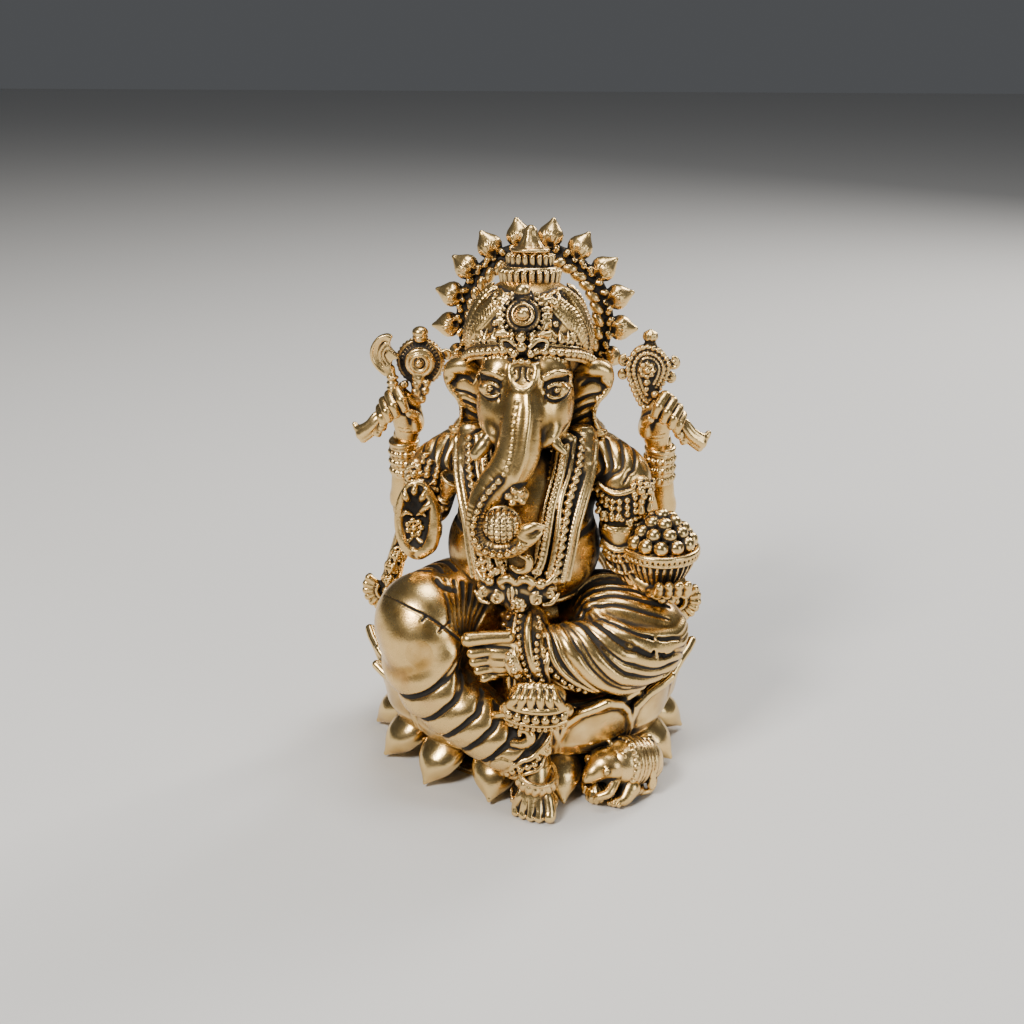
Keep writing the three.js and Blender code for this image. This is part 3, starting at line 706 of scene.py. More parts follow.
@piece("left_leg", "left_thigh", "left_shin", slot="antique_gold")
def left_leg(clay):
    clay.tube([(5.6, -3.8, 20.8), (10.8, -7.4, 21.4), (16.4, -9.6, 19.8)], [4.4, 5.6, 4.6], k=0.5)
    clay.ball((16.2, -9.8, 19.6), (4.5, 4.6, 4.9), k=1.0)
    clay.ball((11.8, -10.4, 20.6), (6.2, 4.6, 5.0), k=1.4)
    clay.tube(
        [(16.0, -11.6, 18.2), (11.6, -14.4, 18.5), (6.6, -16.0, 19.2), (3.8, -16.6, 20.2)],
        [3.9, 4.7, 4.0, 2.8], k=1.2,
    )
    inner = [
        (7.7, -12.0, 25.4), (10.0, -14.6, 24.0), (13.1, -15.6, 22.3), (15.6, -14.6, 21.2),
        (17.8, -12.2, 20.6), (19.0, -9.2, 21.0),
    ]
    outer = [
        (3.6, -15.6, 23.1), (5.4, -17.2, 21.2), (8.3, -18.2, 18.8), (10.8, -17.4, 17.1),
        (13.9, -15.2, 16.1), (16.6, -12.0, 16.2),
    ]
    count = 9
    for i in range(count):
        path = between(inner, outer, i / (count - 1))
        clay.cord(path, tapered(0.8 if i % 2 == 0 else 0.45, 0.2), k=0.8, lift=-0.2)
    for i in range(count - 1):
        path = between(inner, outer, (i + 0.55) / (count - 1))
        clay.engrave(path, tapered(0.11 if i % 2 else 0.07, 0.04), k=0.5)
    # the underside of the knee, and the seat cloth's folds that run back from it
    for drop in (0.0, 1.3, 2.5):
        clay.engrave(
            [
                (19.6, -8.0, 18.4 - drop), (17.9, -12.6, 16.2 - 0.8 * drop),
                (14.4, -15.2, 14.6 - 0.4 * drop),
            ],
            tapered(0.2, 0.08), k=0.35,
        )
    # the rolled edge of the cloth over the top of the thigh
    top = [
        (6.2, -9.6, 24.2), (8.2, -8.6, 25.2), (10.2, -8.2, 25.6), (12.6, -8.2, 25.4),
        (15.0, -8.0, 24.6), (17.4, -7.4, 23.4),
    ]
    clay.cord(top, tapered(0.42, 0.2), k=0.15, lift=0.1)
    for shift in (0.9, 1.9, 3.0, 4.2):
        clay.engrave(
            np.array(top) + (0.1 * shift, -shift, -0.35 * shift), tapered(0.18, 0.06), k=0.4,
        )
    # the beaded hem along the shin
    hem = [
        (2.9, -16.0, 23.4), (4.0, -17.6, 21.4), (6.0, -18.8, 18.8), (8.2, -18.6, 17.0),
        (10.0, -17.8, 15.8),
    ]
    clay.cord(np.array(hem) + (-0.2, 0, 0), 0.34, k=0.1, lift=0.15)
    clay.cord(np.array(hem) + (0.4, 0, 0.75), 0.26, k=0.1, lift=0.08)
    beads = [
        (3.0, -17.0, 22.6), (3.6, -18.2, 20.4), (4.9, -19.0, 18.4), (6.5, -18.9, 16.9),
        (8.4, -18.2, 15.8),
    ]
    clay.beads(smooth_curve(beads), 0.5, 1.05, lift=0.15)
    clay.cord(
        [
            (2.4, -17.6, 20.6), (2.7, -18.4, 19.0), (4.0, -18.8, 17.0), (5.6, -18.6, 15.8),
            (7.4, -17.6, 15.0),
        ],
        0.32, k=0.15, lift=0.1,
    )


def toe(clay, start, end, r, k=0.2):
    """A slightly arched toe with a rounded tip."""
    start, end = vec(*start), vec(*end)
    clay.tube([start, (start + end) / 2 + (0, -0.05, 0.1), end], [r * 0.9, r * 0.92, r], k=k)


@piece("left_foot", slot="antique_gold", pad=1.2)
def left_foot(clay):
    clay.ball((-2.2, -18.9, 20.2), (2.9, 1.7, 3.1), k=0.6)
    clay.tube(
        [(0.2, -18.2, 20.0), (-1.4, -18.6, 20.2)], [2.0, 2.4], k=0.6, flat=(0, 1, 0), thin=0.6,
    )
    toe(clay, (-1.2, -19.3, 22.9), (-6.0, -19.9, 22.6), 0.98)
    for z, reach, r in (
        (21.0, -5.5, 0.74), (19.8, -5.3, 0.7), (18.65, -4.8, 0.64), (17.6, -4.1, 0.58),
    ):
        toe(clay, (-2.8, -19.6, z), (reach, -20.1, z - 0.1), r, k=0.12)
        clay.engrave(
            [(-3.2, -20.2, z + 0.6), (-1.4, -20.3, z + 0.55), (-0.4, -20.0, z + 0.2)],
            tapered(0.12, 0.05), k=0.15,
        )
    clay.engrave(
        [(-6.2, -20.4, 21.8), (-3.4, -20.6, 21.9), (-1.0, -20.3, 21.8), (0.0, -19.8, 20.8)],
        tapered(0.2, 0.06), k=0.15,
    )
    clay.ball((-6.75, -20.1, 23.0), (0.35, 0.5, 0.35), k=0.1, cut=True)


@piece("right_foot", slot="polished_gold", pad=0.9)
def right_foot(clay):
    """A broad foot that slopes down from the anklet and fans out to five toes."""
    clay.tube(
        [(2.4, -20.6, 5.6), (2.4, -21.2, 4.2), (2.45, -21.8, 2.5), (2.5, -21.9, 1.4)],
        [1.9, 2.05, 2.3, 2.4], k=0.3,
    )
    clay.ball((2.5, -21.9, 1.5), (2.9, 2.4, 1.7), k=0.6)
    toes = (
        (0.1, -23.8, 0.52), (1.05, -24.4, 0.56), (2.05, -24.9, 0.58), (3.1, -25.1, 0.6),
        (4.4, -25.2, 0.85),
    )
    for x, y, r in toes:
        root, bend = 2.5 + (x - 2.5) * 0.6, 2.5 + (x - 2.5) * 0.85
        clay.tube(
            [(root, -22.6, 4.2), (bend, -23.2, 2.8), (x, y + r + 0.35, 1.4), (x, y + r, r + 0.1)],
            [0.4, 0.9 * r, r, r], k=0.25,
        )
    for (x, y, r), (x2, y2, _) in zip(toes[:-1], toes[1:]):
        u, v = (x + x2) / 2, (y + y2) / 2
        clay.engrave(
            [
                (2.5 + (u - 2.5) * 0.85, -23.8, 2.8), (2.5 + (u - 2.5) * 0.95, v + 0.4, 1.9),
                (u, v + 0.4, 1.0),
            ],
            [0.05, 0.14, 0.2], k=0.15,
        )
    clay.ball((-0.7, -22.2, 3.0), 0.6, 0.15)
    clay.ball((-0.3, -22.8, 2.2), 0.45, 0.15)
    clay.cut_below(box("right_foot")[0][2])


def bead_ring(clay, c, axis, radius, count, r, long=1.0):
    """Beads round a ring, stretched along its axis by long."""
    m = basis(axis)
    for u, v in wheel(count):
        way = m[0] * u + m[1] * v
        rot = np.array([way, np.cross(m[2], way), m[2]])
        clay.ball(np.asarray(c) + radius * way, (r, r, r * long), 0.06, rot=rot)


@piece("right_anklet", slot="jewel_gold", pad=1.6)
def right_anklet(clay):
    c = centre("right_anklet") + (0, -0.1, 0.7)
    axis = (0.2, -0.3, 0.9)
    clay.ring(c, axis, 2.25, 0.5, squash=1.6)
    bead_ring(clay, c - 0.1 * unit(axis), axis, 2.5, 18, 0.45, 1.7)
    clay.ring(c + 0.95 * unit(axis), axis, 2.35, 0.26, k=0.08)
    clay.ring(c - 0.9 * unit(axis), axis, 2.4, 0.2, k=0.08)


@piece("left_anklet", slot="jewel_gold")
def left_anklet(clay):
    c = centre("left_anklet")
    axis = (0.92, -0.1, 0.38)
    clay.ring(c, axis, 2.3, 0.4, squash=1.5)
    bead_ring(clay, c, axis, 2.5, 15, 0.5, 1.0)
    clay.ring(c + 0.75 * unit(axis), axis, 2.35, 0.26, k=0.08)
    clay.ring(c - 0.7 * unit(axis), axis, 2.35, 0.24, k=0.08)


@piece("front_sash", slot="antique_gold", pad=2.4)
def front_sash(clay):
    # the lap cloth hangs in folds behind the strands and closes the space between the shins
    clay.tube(
        [(0.6, -14.4, 22.8), (1.2, -16.6, 18.6), (1.6, -17.6, 14.4)], [3.0, 3.6, 3.4],
        flat=(0, 1, 0.3), thin=0.4,
    )
    for x in (-2.0, -0.9, 0.2, 1.2, 2.4, 3.5):
        clay.engrave(
            [(0.6 + 0.6 * x, -17.0, 22.0), (0.9 + 0.9 * x, -18.4, 18.6), (1.0 + x, -19.0, 14.8)],
            tapered(0.28, 0.1), k=0.3,
        )
    clay.tube(
        [(0.8, -15.2, 24.2), (1.4, -17.8, 22.2), (2.0, -19.2, 19.4), (2.4, -19.6, 17.0)],
        [1.5, 1.9, 1.9, 1.5], k=0.3, flat=(0, 1, 0.3), thin=0.35,
    )
    strands = [
        ([(1.2, -16.6, 24.6), (1.3, -18.6, 22.8), (1.7, -19.8, 20.4), (2.4, -20.1, 18.0)], 0.5),
        ([(-0.4, -16.4, 24.4), (-0.6, -18.4, 22.0), (0.1, -19.7, 19.0), (1.1, -20.0, 17.0)], 0.34),
        ([(2.6, -16.8, 23.6), (2.7, -18.6, 21.2), (3.2, -19.6, 19.0), (3.9, -19.8, 17.2)], 0.34),
    ]
    for path, r in strands:
        clay.cord(path, tapered(r, 0.5 * r), k=0.12, lift=0.15)
    for path in (
        [(0.4, -16.8, 24.4), (0.4, -18.8, 22.2), (0.9, -20.0, 19.6), (1.8, -20.3, 17.4)],
        [(2.0, -16.8, 24.2), (2.1, -18.8, 22.0), (2.5, -20.0, 19.6), (3.1, -20.3, 17.6)],
    ):
        clay.beads(smooth_curve(path), 0.38, 0.82, lift=0.15)
    for x, z in ((-2.4, 23.6), (-1.4, 23.9), (-1.9, 22.9), (3.4, 23.9), (-1.2, 22.6)):
        clay.beads(clay.land([(x, -14.0, z), (x + 0.1, -14.0, z)]), 0.42, 2.0, lift=0.1)


@piece("sash_fan", slot="antique_gold", pad=1.4)
def sash_fan(clay):
    x, y, z = centre("sash_fan")
    clay.tube(
        [(x - 2.0, y + 0.9, z + 3.4), (x, y + 0.5, z + 3.5), (x + 2.0, y + 0.9, z + 3.4)], 0.6,
        k=0.2,
    )
    clay.tube(
        [(x - 2.2, y + 1.2, z + 2.2), (x, y + 0.8, z + 2.2), (x + 2.4, y + 1.2, z + 2.2)], 1.3,
        k=0.4,
    )
    for i in range(6):
        share = i / 5 - 0.5
        a = (x + 4.0 * share, y + 0.6, z + 3.9 - 0.8 * abs(share))
        b = (x + 6.2 * share, y - 0.5 + 1.4 * share**2, z + 1.5)
        clay.tube([a, np.add(a, b) / 2 + (0, -0.6, 0), b], [0.36, 0.56, 0.6], k=0.08)
        clay.ball(np.add(a, (0, 0, 0.1)), 0.45, 0.08)
    rail = np.array(
        [
            (x - 3.7, y + 0.3, z + 1.2), (x - 1.8, y - 0.6, z + 1.1), (x + 0.4, y - 0.85, z + 1.0),
            (x + 2.4, y - 0.6, z + 1.1), (x + 3.7, y + 0.2, z + 1.3),
        ]
    )
    clay.tube(rail, 0.46, k=0.1)
    clay.tube(rail + (0, 0.9, -0.9), 0.9, k=0.2)
    clay.beads(smooth_curve(rail + (0, -0.2, -1.0))[3:-3], 0.56, 1.08, snap=False)
    for hand in (-1, 1):
        clay.ball((x + 3.55 * hand, y + 0.2, z + 0.6), (0.55, 0.5, 0.8), k=0.15)
    clay.tube(rail + (0, 0.2, -1.95), 0.34, k=0.1)
    clay.beads(smooth_curve(rail + (0, 0.3, -2.6))[4:-4], 0.32, 0.72, snap=False)
    clay.tube(
        [(x - 3.0, y + 1.2, z - 1.3), (x, y + 0.7, z - 1.5), (x + 3.0, y + 1.2, z - 1.3)], 0.9,
        k=0.3,
    )


# ---------------------------------------------------------------- body, garlands and pendant


def torso_mass(clay):
    clay.ball((-0.3, -5.6, 29.9), (9.9, 9.4, 8.6), k=0.5)
    clay.ball((0, -2.6, 38.4), (10.2, 6.8, 6.0), k=2.5)
    clay.ball((0, -7.4, 36.4), (7.6, 5.8, 7.4), k=2.0)
    clay.tube([(0, -2.2, 41.5), (0, -3.4, 46.6)], [5.2, 4.8], k=1.5)
    return clay


def body_surface(*nodes, pad=3.0):
    """A coarse copy of the body near some nodes, to lay things on."""
    lo, hi = box(*nodes)
    return torso_mass(Clay(lo - pad, hi + pad, 0.3))


@piece("torso", slot="antique_gold")
def torso(clay):
    torso_mass(clay)
    # the hem under the belly and the folds of flesh above it
    clay.cord([(9.2, -6.0, 24.9), (7.4, -10.4, 24.0), (5.0, -12.6, 23.6)], 0.4, k=0.2)
    clay.cord([(-9.2, -6.0, 25.2), (-7.6, -10.4, 24.4), (-5.0, -12.6, 23.8)], 0.4, k=0.2)
    for side in (-1, 1):
        clay.engrave(
            mirror([(9.8, -4.0, 33.8), (8.6, -9.0, 33.6), (6.8, -11.8, 33.2)], side),
            tapered(0.3, 0.08), k=0.6,
        )
        # the small strings of beads beside the garland
        clay.beads(
            smooth_curve(mirror([(9.4, -6.6, 38.6), (8.9, -9.4, 36.9), (8.2, -11.4, 35.4)], side)),
            0.34, 0.8, lift=0.05,
        )
        clay.cord(
            mirror(
                [(4.7, -9.6, 45.6), (4.4, -9.6, 43.4), (3.9, -10.2, 41.0), (3.4, -10.6, 38.6)],
                side,
            ),
            0.45, k=0.1, lift=0.1,
        )
        clay.beads(
            smooth_curve(
                mirror(
                    [(5.5, -9.0, 45.4), (5.3, -9.4, 43.4), (4.9, -10.2, 41.4), (4.4, -11.0, 39.0)],
                    side,
                )
            ),
            0.4, 0.95, lift=0.2,
        )
        clay.beads(
            smooth_curve(mirror([(3.6, -9.4, 44.6), (3.3, -9.8, 42.4), (2.7, -10.4, 40.2)], side)),
            0.3, 0.75, lift=0.1,
        )
    # back: the spine, folds across the lower back and a cloth that crosses them
    clay.engrave(
        [(0, 6.0, 41.0), (0, 6.0, 36.0), (0, 6.0, 31.0), (0, 6.0, 28.0)], tapered(0.3, 0.05), k=1.2,
    )
    for z in (29.4, 27.8, 26.4):
        fold = clay.land(
            smooth_curve([(-7.4, 4.0, z + 0.7), (0, 4.0, z), (7.4, 4.0, z + 0.7)], 40),
            way=(0, -1, 0), back=8.0,
        )
        clay.tube(fold, tapered(0.2, 0.05), k=0.5, cut=True, curve=False)
    sash = [
        (8.6, 2.0, 42.0), (5.0, 5.0, 38.0), (0.0, 6.6, 33.6), (-5.0, 5.6, 29.6), (-8.4, 3.4, 26.6),
    ]
    for shift, r in ((-0.9, 0.3), (0.0, 0.38), (0.9, 0.3)):
        clay.cord(np.array(sash) + (0.6 * shift, 0, shift), r, k=0.2, lift=0.05)
    clay.cord(
        [(7.6, 0.0, 44.4), (4.0, 3.6, 44.2), (0, 4.6, 43.6), (-4.0, 3.6, 44.2), (-7.6, 0.0, 44.4)],
        0.42, k=0.1,
    )
    clay.beads(
        smooth_curve(
            [
                (7.4, 0.6, 43.2), (4.0, 4.2, 42.8), (0, 5.2, 42.2), (-4.0, 4.2, 42.8),
                (-7.4, 0.6, 43.2),
            ]
        ),
        0.42, 1.0, lift=0.1,
    )


@side_pieces("garland_{}", slot="jewel_gold", pad=2.6)
def garland(clay, side, name):
    """Three ribbons and three rows of beads that follow the body down to the pendant."""
    under = body_surface(name)
    outer = mirror(
        [
            (8.1, -6.8, 44.4), (7.9, -9.9, 41.4), (7.1, -12.4, 38.4), (6.3, -14.0, 35.4),
            (5.8, -15.0, 32.4), (5.2, -15.8, 29.2),
        ],
        side,
    )
    middle = mirror(
        [
            (7.0, -7.4, 44.7), (6.7, -10.6, 41.8), (5.8, -12.9, 38.7), (5.3, -14.5, 35.4),
            (4.9, -15.3, 32.6), (4.3, -15.9, 29.4),
        ],
        side,
    )
    inner = mirror(
        [
            (6.1, -8.0, 45.2), (5.7, -11.0, 41.8), (4.8, -13.2, 38.7), (4.5, -14.8, 35.3),
            (4.1, -15.5, 32.4), (3.5, -16.0, 29.6),
        ],
        side,
    )
    second = mirror(
        [
            (5.0, -9.6, 44.6), (4.5, -11.8, 41.6), (3.6, -13.6, 38.0), (3.1, -14.8, 34.6),
            (2.5, -15.6, 31.4), (1.4, -16.2, 29.4),
        ],
        side,
    )
    rows = []
    for path in (outer, middle, inner, second):
        p = smooth_curve(path, 60)
        body = under.land(p, back=6.0)[:, 1]
        lift = np.minimum(p[:, 1], body - 0.25)
        p[:, 1] = np.minimum(
            lift, np.convolve(np.pad(lift, 4, mode="edge"), np.ones(9) / 9, "valid") + 0.1,
        )
        rows.append(p)
    outer, middle, inner, second = rows
    clay.tube(middle + (0, 1.95, 0), 1.9, curve=False, flat=(0, 1, 0.2), thin=0.7)
    clay.tube(second + (0, 1.5, 0), 1.4, k=0.2, curve=False, flat=(0, 1, 0.2), thin=0.7)
    clay.tube(outer, 0.5, k=0.1, curve=False)
    clay.tube(outer + (0.75 * side, 0.35, 0), 0.34, k=0.08, curve=False)
    clay.tube(inner, 0.36, k=0.08, curve=False)
    clay.tube(second + (0.3 * side, 0, 0), 0.4, k=0.08, curve=False)
    clay.tube(second - (0.75 * side, -0.1, 0), 0.26, k=0.08, curve=False)
    clay.beads(middle + (0, -0.25, 0), 0.56, 1.08, snap=False)
    clay.beads(second - (0.2 * side, 0.3, 0), 0.3, 0.62, snap=False, k=0.05)
    clay.beads(outer + (0, -0.42, 0), 0.2, 0.52, snap=False, k=0.05)


def spiral(middle, size, turns, start, way, count, shrink):
    """Points of a spiral that faces the front and winds in to 1 - shrink of its size."""
    t = np.linspace(0, 1, count)
    a = math.radians(start) + way * 2 * math.pi * turns * t
    radius = size * (1 - shrink * t)
    x, y, z = middle
    return np.stack([x + radius * np.cos(a), np.full(count, y), z + radius * np.sin(a)], axis=1)


def scroll(clay, middle, size, turns, start, way, r):
    """A flat spiral facing the front, with a small ball at its heart."""
    path = spiral(middle, size, turns, start, way, 26, 0.72)
    clay.tube(path, [r, r, 0.8 * r], k=0.08, curve=False)
    clay.ball(path[-1], 1.25 * r, 0.08)


@piece("garland_pendant", slot="jewel_gold", pad=1.0)
def garland_pendant(clay):
    clay.ball((-0.4, -15.4, 28.0), (5.0, 1.5, 2.5), k=0.4, rot=turn((1, 0, 0), 12))
    clay.ball((-0.4, -15.8, 26.2), (1.6, 1.3, 1.9), k=0.4)
    y = -16.7
    clay.ball((-3.7, y, 29.2), 0.68, 0.05)
    clay.ball((2.6, y, 29.0), 0.72, 0.05)
    for x, z in ((-5.2, 31.2), (-4.8, 30.2), (-3.6, 31.0), (-2.6, 30.4), (4.3, 30.4), (3.4, 30.2)):
        clay.ball((x, -15.8, z - 0.2), 0.45, 0.08)
    # two curled leaves meet over the fluted drop
    for side in (-1, 1):
        x = -0.4
        clay.tube(
            [
                (x + 0.2 * side, y, 29.0), (x + 1.0 * side, y - 0.2, 29.7),
                (x + 1.9 * side, y - 0.1, 29.2), (x + 1.7 * side, y, 28.4),
            ],
            [0.45, 0.62, 0.55, 0.35], k=0.1,
        )
        scroll(clay, (x + 2.5 * side, y, 26.9), 0.85, 1.2, 90, side, 0.26)
        scroll(clay, (x + 4.1 * side, y + 0.5, 27.6), 0.8, 1.2, 60, side, 0.26)
        scroll(clay, (x + 2.6 * side, y + 0.3, 30.4), 0.6, 1.0, 200, -side, 0.22)
        clay.tube(
            [
                (x + 3.1 * side, y, 28.7), (x + 4.2 * side, y + 0.3, 29.4),
                (x + 5.0 * side, y + 0.8, 30.4),
            ],
            [0.25, 0.42, 0.25], k=0.1,
        )
        clay.tube(
            [
                (x + 3.4 * side, y, 26.2), (x + 4.4 * side, y + 0.4, 26.4),
                (x + 5.2 * side, y + 0.9, 27.4),
            ],
            [0.22, 0.36, 0.22], k=0.1,
        )
    clay.turned(
        (-0.9, y + 0.2, 27.6), (-0.1, 0.1, 1),
        [(-1.4, 0.35), (-0.8, 0.75), (0.2, 0.9), (1.0, 0.55), (1.3, 0.2)], k=0.1, flutes=8,
        depth=0.25,
    )
    clay.ball((-0.1, y - 0.1, 26.3), 0.95, 0.1)
    for u, v in wheel(7, 0.75):
        clay.ball((-0.1 + u, y - 0.55, 26.3 + v), 0.34, 0.06)
    clay.ball((-0.1, y - 0.95, 26.3), 0.36, 0.06)


@piece("waist_cord", slot="jewel_gold")
def waist_cord(clay):
    c = centre("hips") * (1, 0, 0) + (0, -3.6, 24.6)
    axis = unit((0, -0.21, 1))
    for lift in (0.45, -0.45):
        clay.ring(c + lift * axis, axis, 10.7, 0.34, k=0.1)
    bead_ring(clay, c, axis, 10.95, 64, 0.42)


@piece("hips", slot="antique_gold", voxel=MIDDLE)
def hips(clay):
    clay.ball((0, 0, 17.4), (12.4, 9.6, 5.2), k=0.5)
    clay.ball((0, -1.6, 20.8), (10.4, 8.4, 4.6), k=1.5)
    # the seat cloth falls in soft pleats behind, and shows its hem at the back
    x, y, z = clay.axes(clay.whole())
    around = np.arctan2(x, y)
    fade = np.clip((y + 3.0) / 5.0, 0, 1) * np.clip((22.5 - z) / 4.0, 0, 1)
    clay.field -= (0.3 * np.sin(28 * around + 0.5 * np.sin(0.8 * z)) * fade).astype(np.float32)
    hem = [
        (11.6, 3.0, 15.0), (7.4, 7.4, 14.5), (0, 9.4, 14.3), (-7.4, 7.4, 14.5), (-11.6, 3.0, 15.0),
    ]
    clay.cord(hem, 0.36, k=0.1, lift=0.05)
    clay.beads(smooth_curve(np.array(hem) + (0, 0, 0.9)), 0.4, 0.95, lift=0.05)
    # loops and strands at the lap, beneath the pendant
    clay.cord([(-0.6, -10.0, 24.8), (-0.8, -11.4, 23.6), (-1.6, -12.4, 22.6)], 0.4)
    clay.cord([(0.6, -10.2, 24.9), (1.0, -11.6, 23.6), (1.4, -12.6, 22.6)], 0.4)


# ---------------------------------------------------------------- head

TRUNK = [
    (0, -9.4, 54.0), (0, -12.0, 51.4), (-0.1, -13.5, 48.4), (-0.4, -14.2, 45.2),
    (-1.4, -14.8, 42.9), (-3.1, -15.3, 41.0),
    (-4.4, -15.9, 39.2), (-5.1, -16.4, 37.2), (-5.0, -16.8, 35.4), (-4.1, -17.2, 34.2),
    (-2.4, -17.5, 33.8),
    (-0.6, -17.8, 34.3), (0.5, -18.1, 35.4), (1.0, -18.3, 36.6),
]
TRUNK_RADII = [2.1, 2.35, 2.5, 2.75, 2.65, 2.3, 1.85, 1.5, 1.4, 1.35, 1.3, 1.3, 1.25, 1.0]


def eye(clay, x, z, side):
    """An almond eye with a ringed iris between two lids, under a heavy arched brow."""
    y = clay.land([(x, -8.0, z)])[0][1]

    def lying(line, lift=0.0):
        return clay.land(
            smooth_curve([(x + u * side, y - 0.5, z + w) for u, w in line], 30), back=3.0,
            lift=lift,
        )

    brow = lying([(-1.8, 0.3), (-1.7, 1.2), (-1.0, 1.9), (0.1, 2.2), (1.3, 1.7), (2.0, 0.7)])
    socket = lying(
        [
            (-1.75, 0.0), (-1.2, 0.95), (-0.2, 1.3), (0.9, 1.1), (1.8, 0.2), (1.2, -0.8),
            (0.1, -1.15), (-1.0, -0.85), (-1.75, 0.0),
        ]
    )
    upper = lying([(-1.5, -0.05), (-0.8, 0.62), (0.0, 0.84), (0.9, 0.62), (1.6, 0.0)])
    lower = lying([(-1.5, -0.05), (-0.8, -0.58), (0.0, -0.76), (0.9, -0.58), (1.6, 0.0)])
    clay.ball((x, y + 0.75, z), (1.5, 1.0, 0.95), k=0.3)
    clay.tube(socket, 0.19, k=0.15, cut=True, curve=False)
    front = vec(x + 0.02 * side, y - 0.22, z + 0.02)
    clay.ring(front, (0.15 * side, -1, 0), 0.46, 0.13, k=0.03, cut=True)
    clay.ball(front + (0, -0.02, 0), 0.24, 0.02)
    clay.engrave(upper + (0, -0.15, -0.2), 0.1, k=0.04, snap=False, count=30)
    clay.engrave(lower + (0, -0.15, 0.18), 0.1, k=0.04, snap=False, count=30)
    clay.tube(upper + (0, -0.1, 0), [0.16, 0.25, 0.27, 0.25, 0.16], k=0.05, curve=False)
    clay.tube(lower + (0, -0.1, 0), [0.14, 0.2, 0.22, 0.2, 0.14], k=0.05, curve=False)
    clay.tube(brow, [0.12, 0.28, 0.34, 0.34, 0.28, 0.1], k=0.35, curve=False)
    clay.engrave(brow + (0, -0.1, 0.42), [0.03, 0.08, 0.08, 0.03], k=0.1, snap=False, count=30)


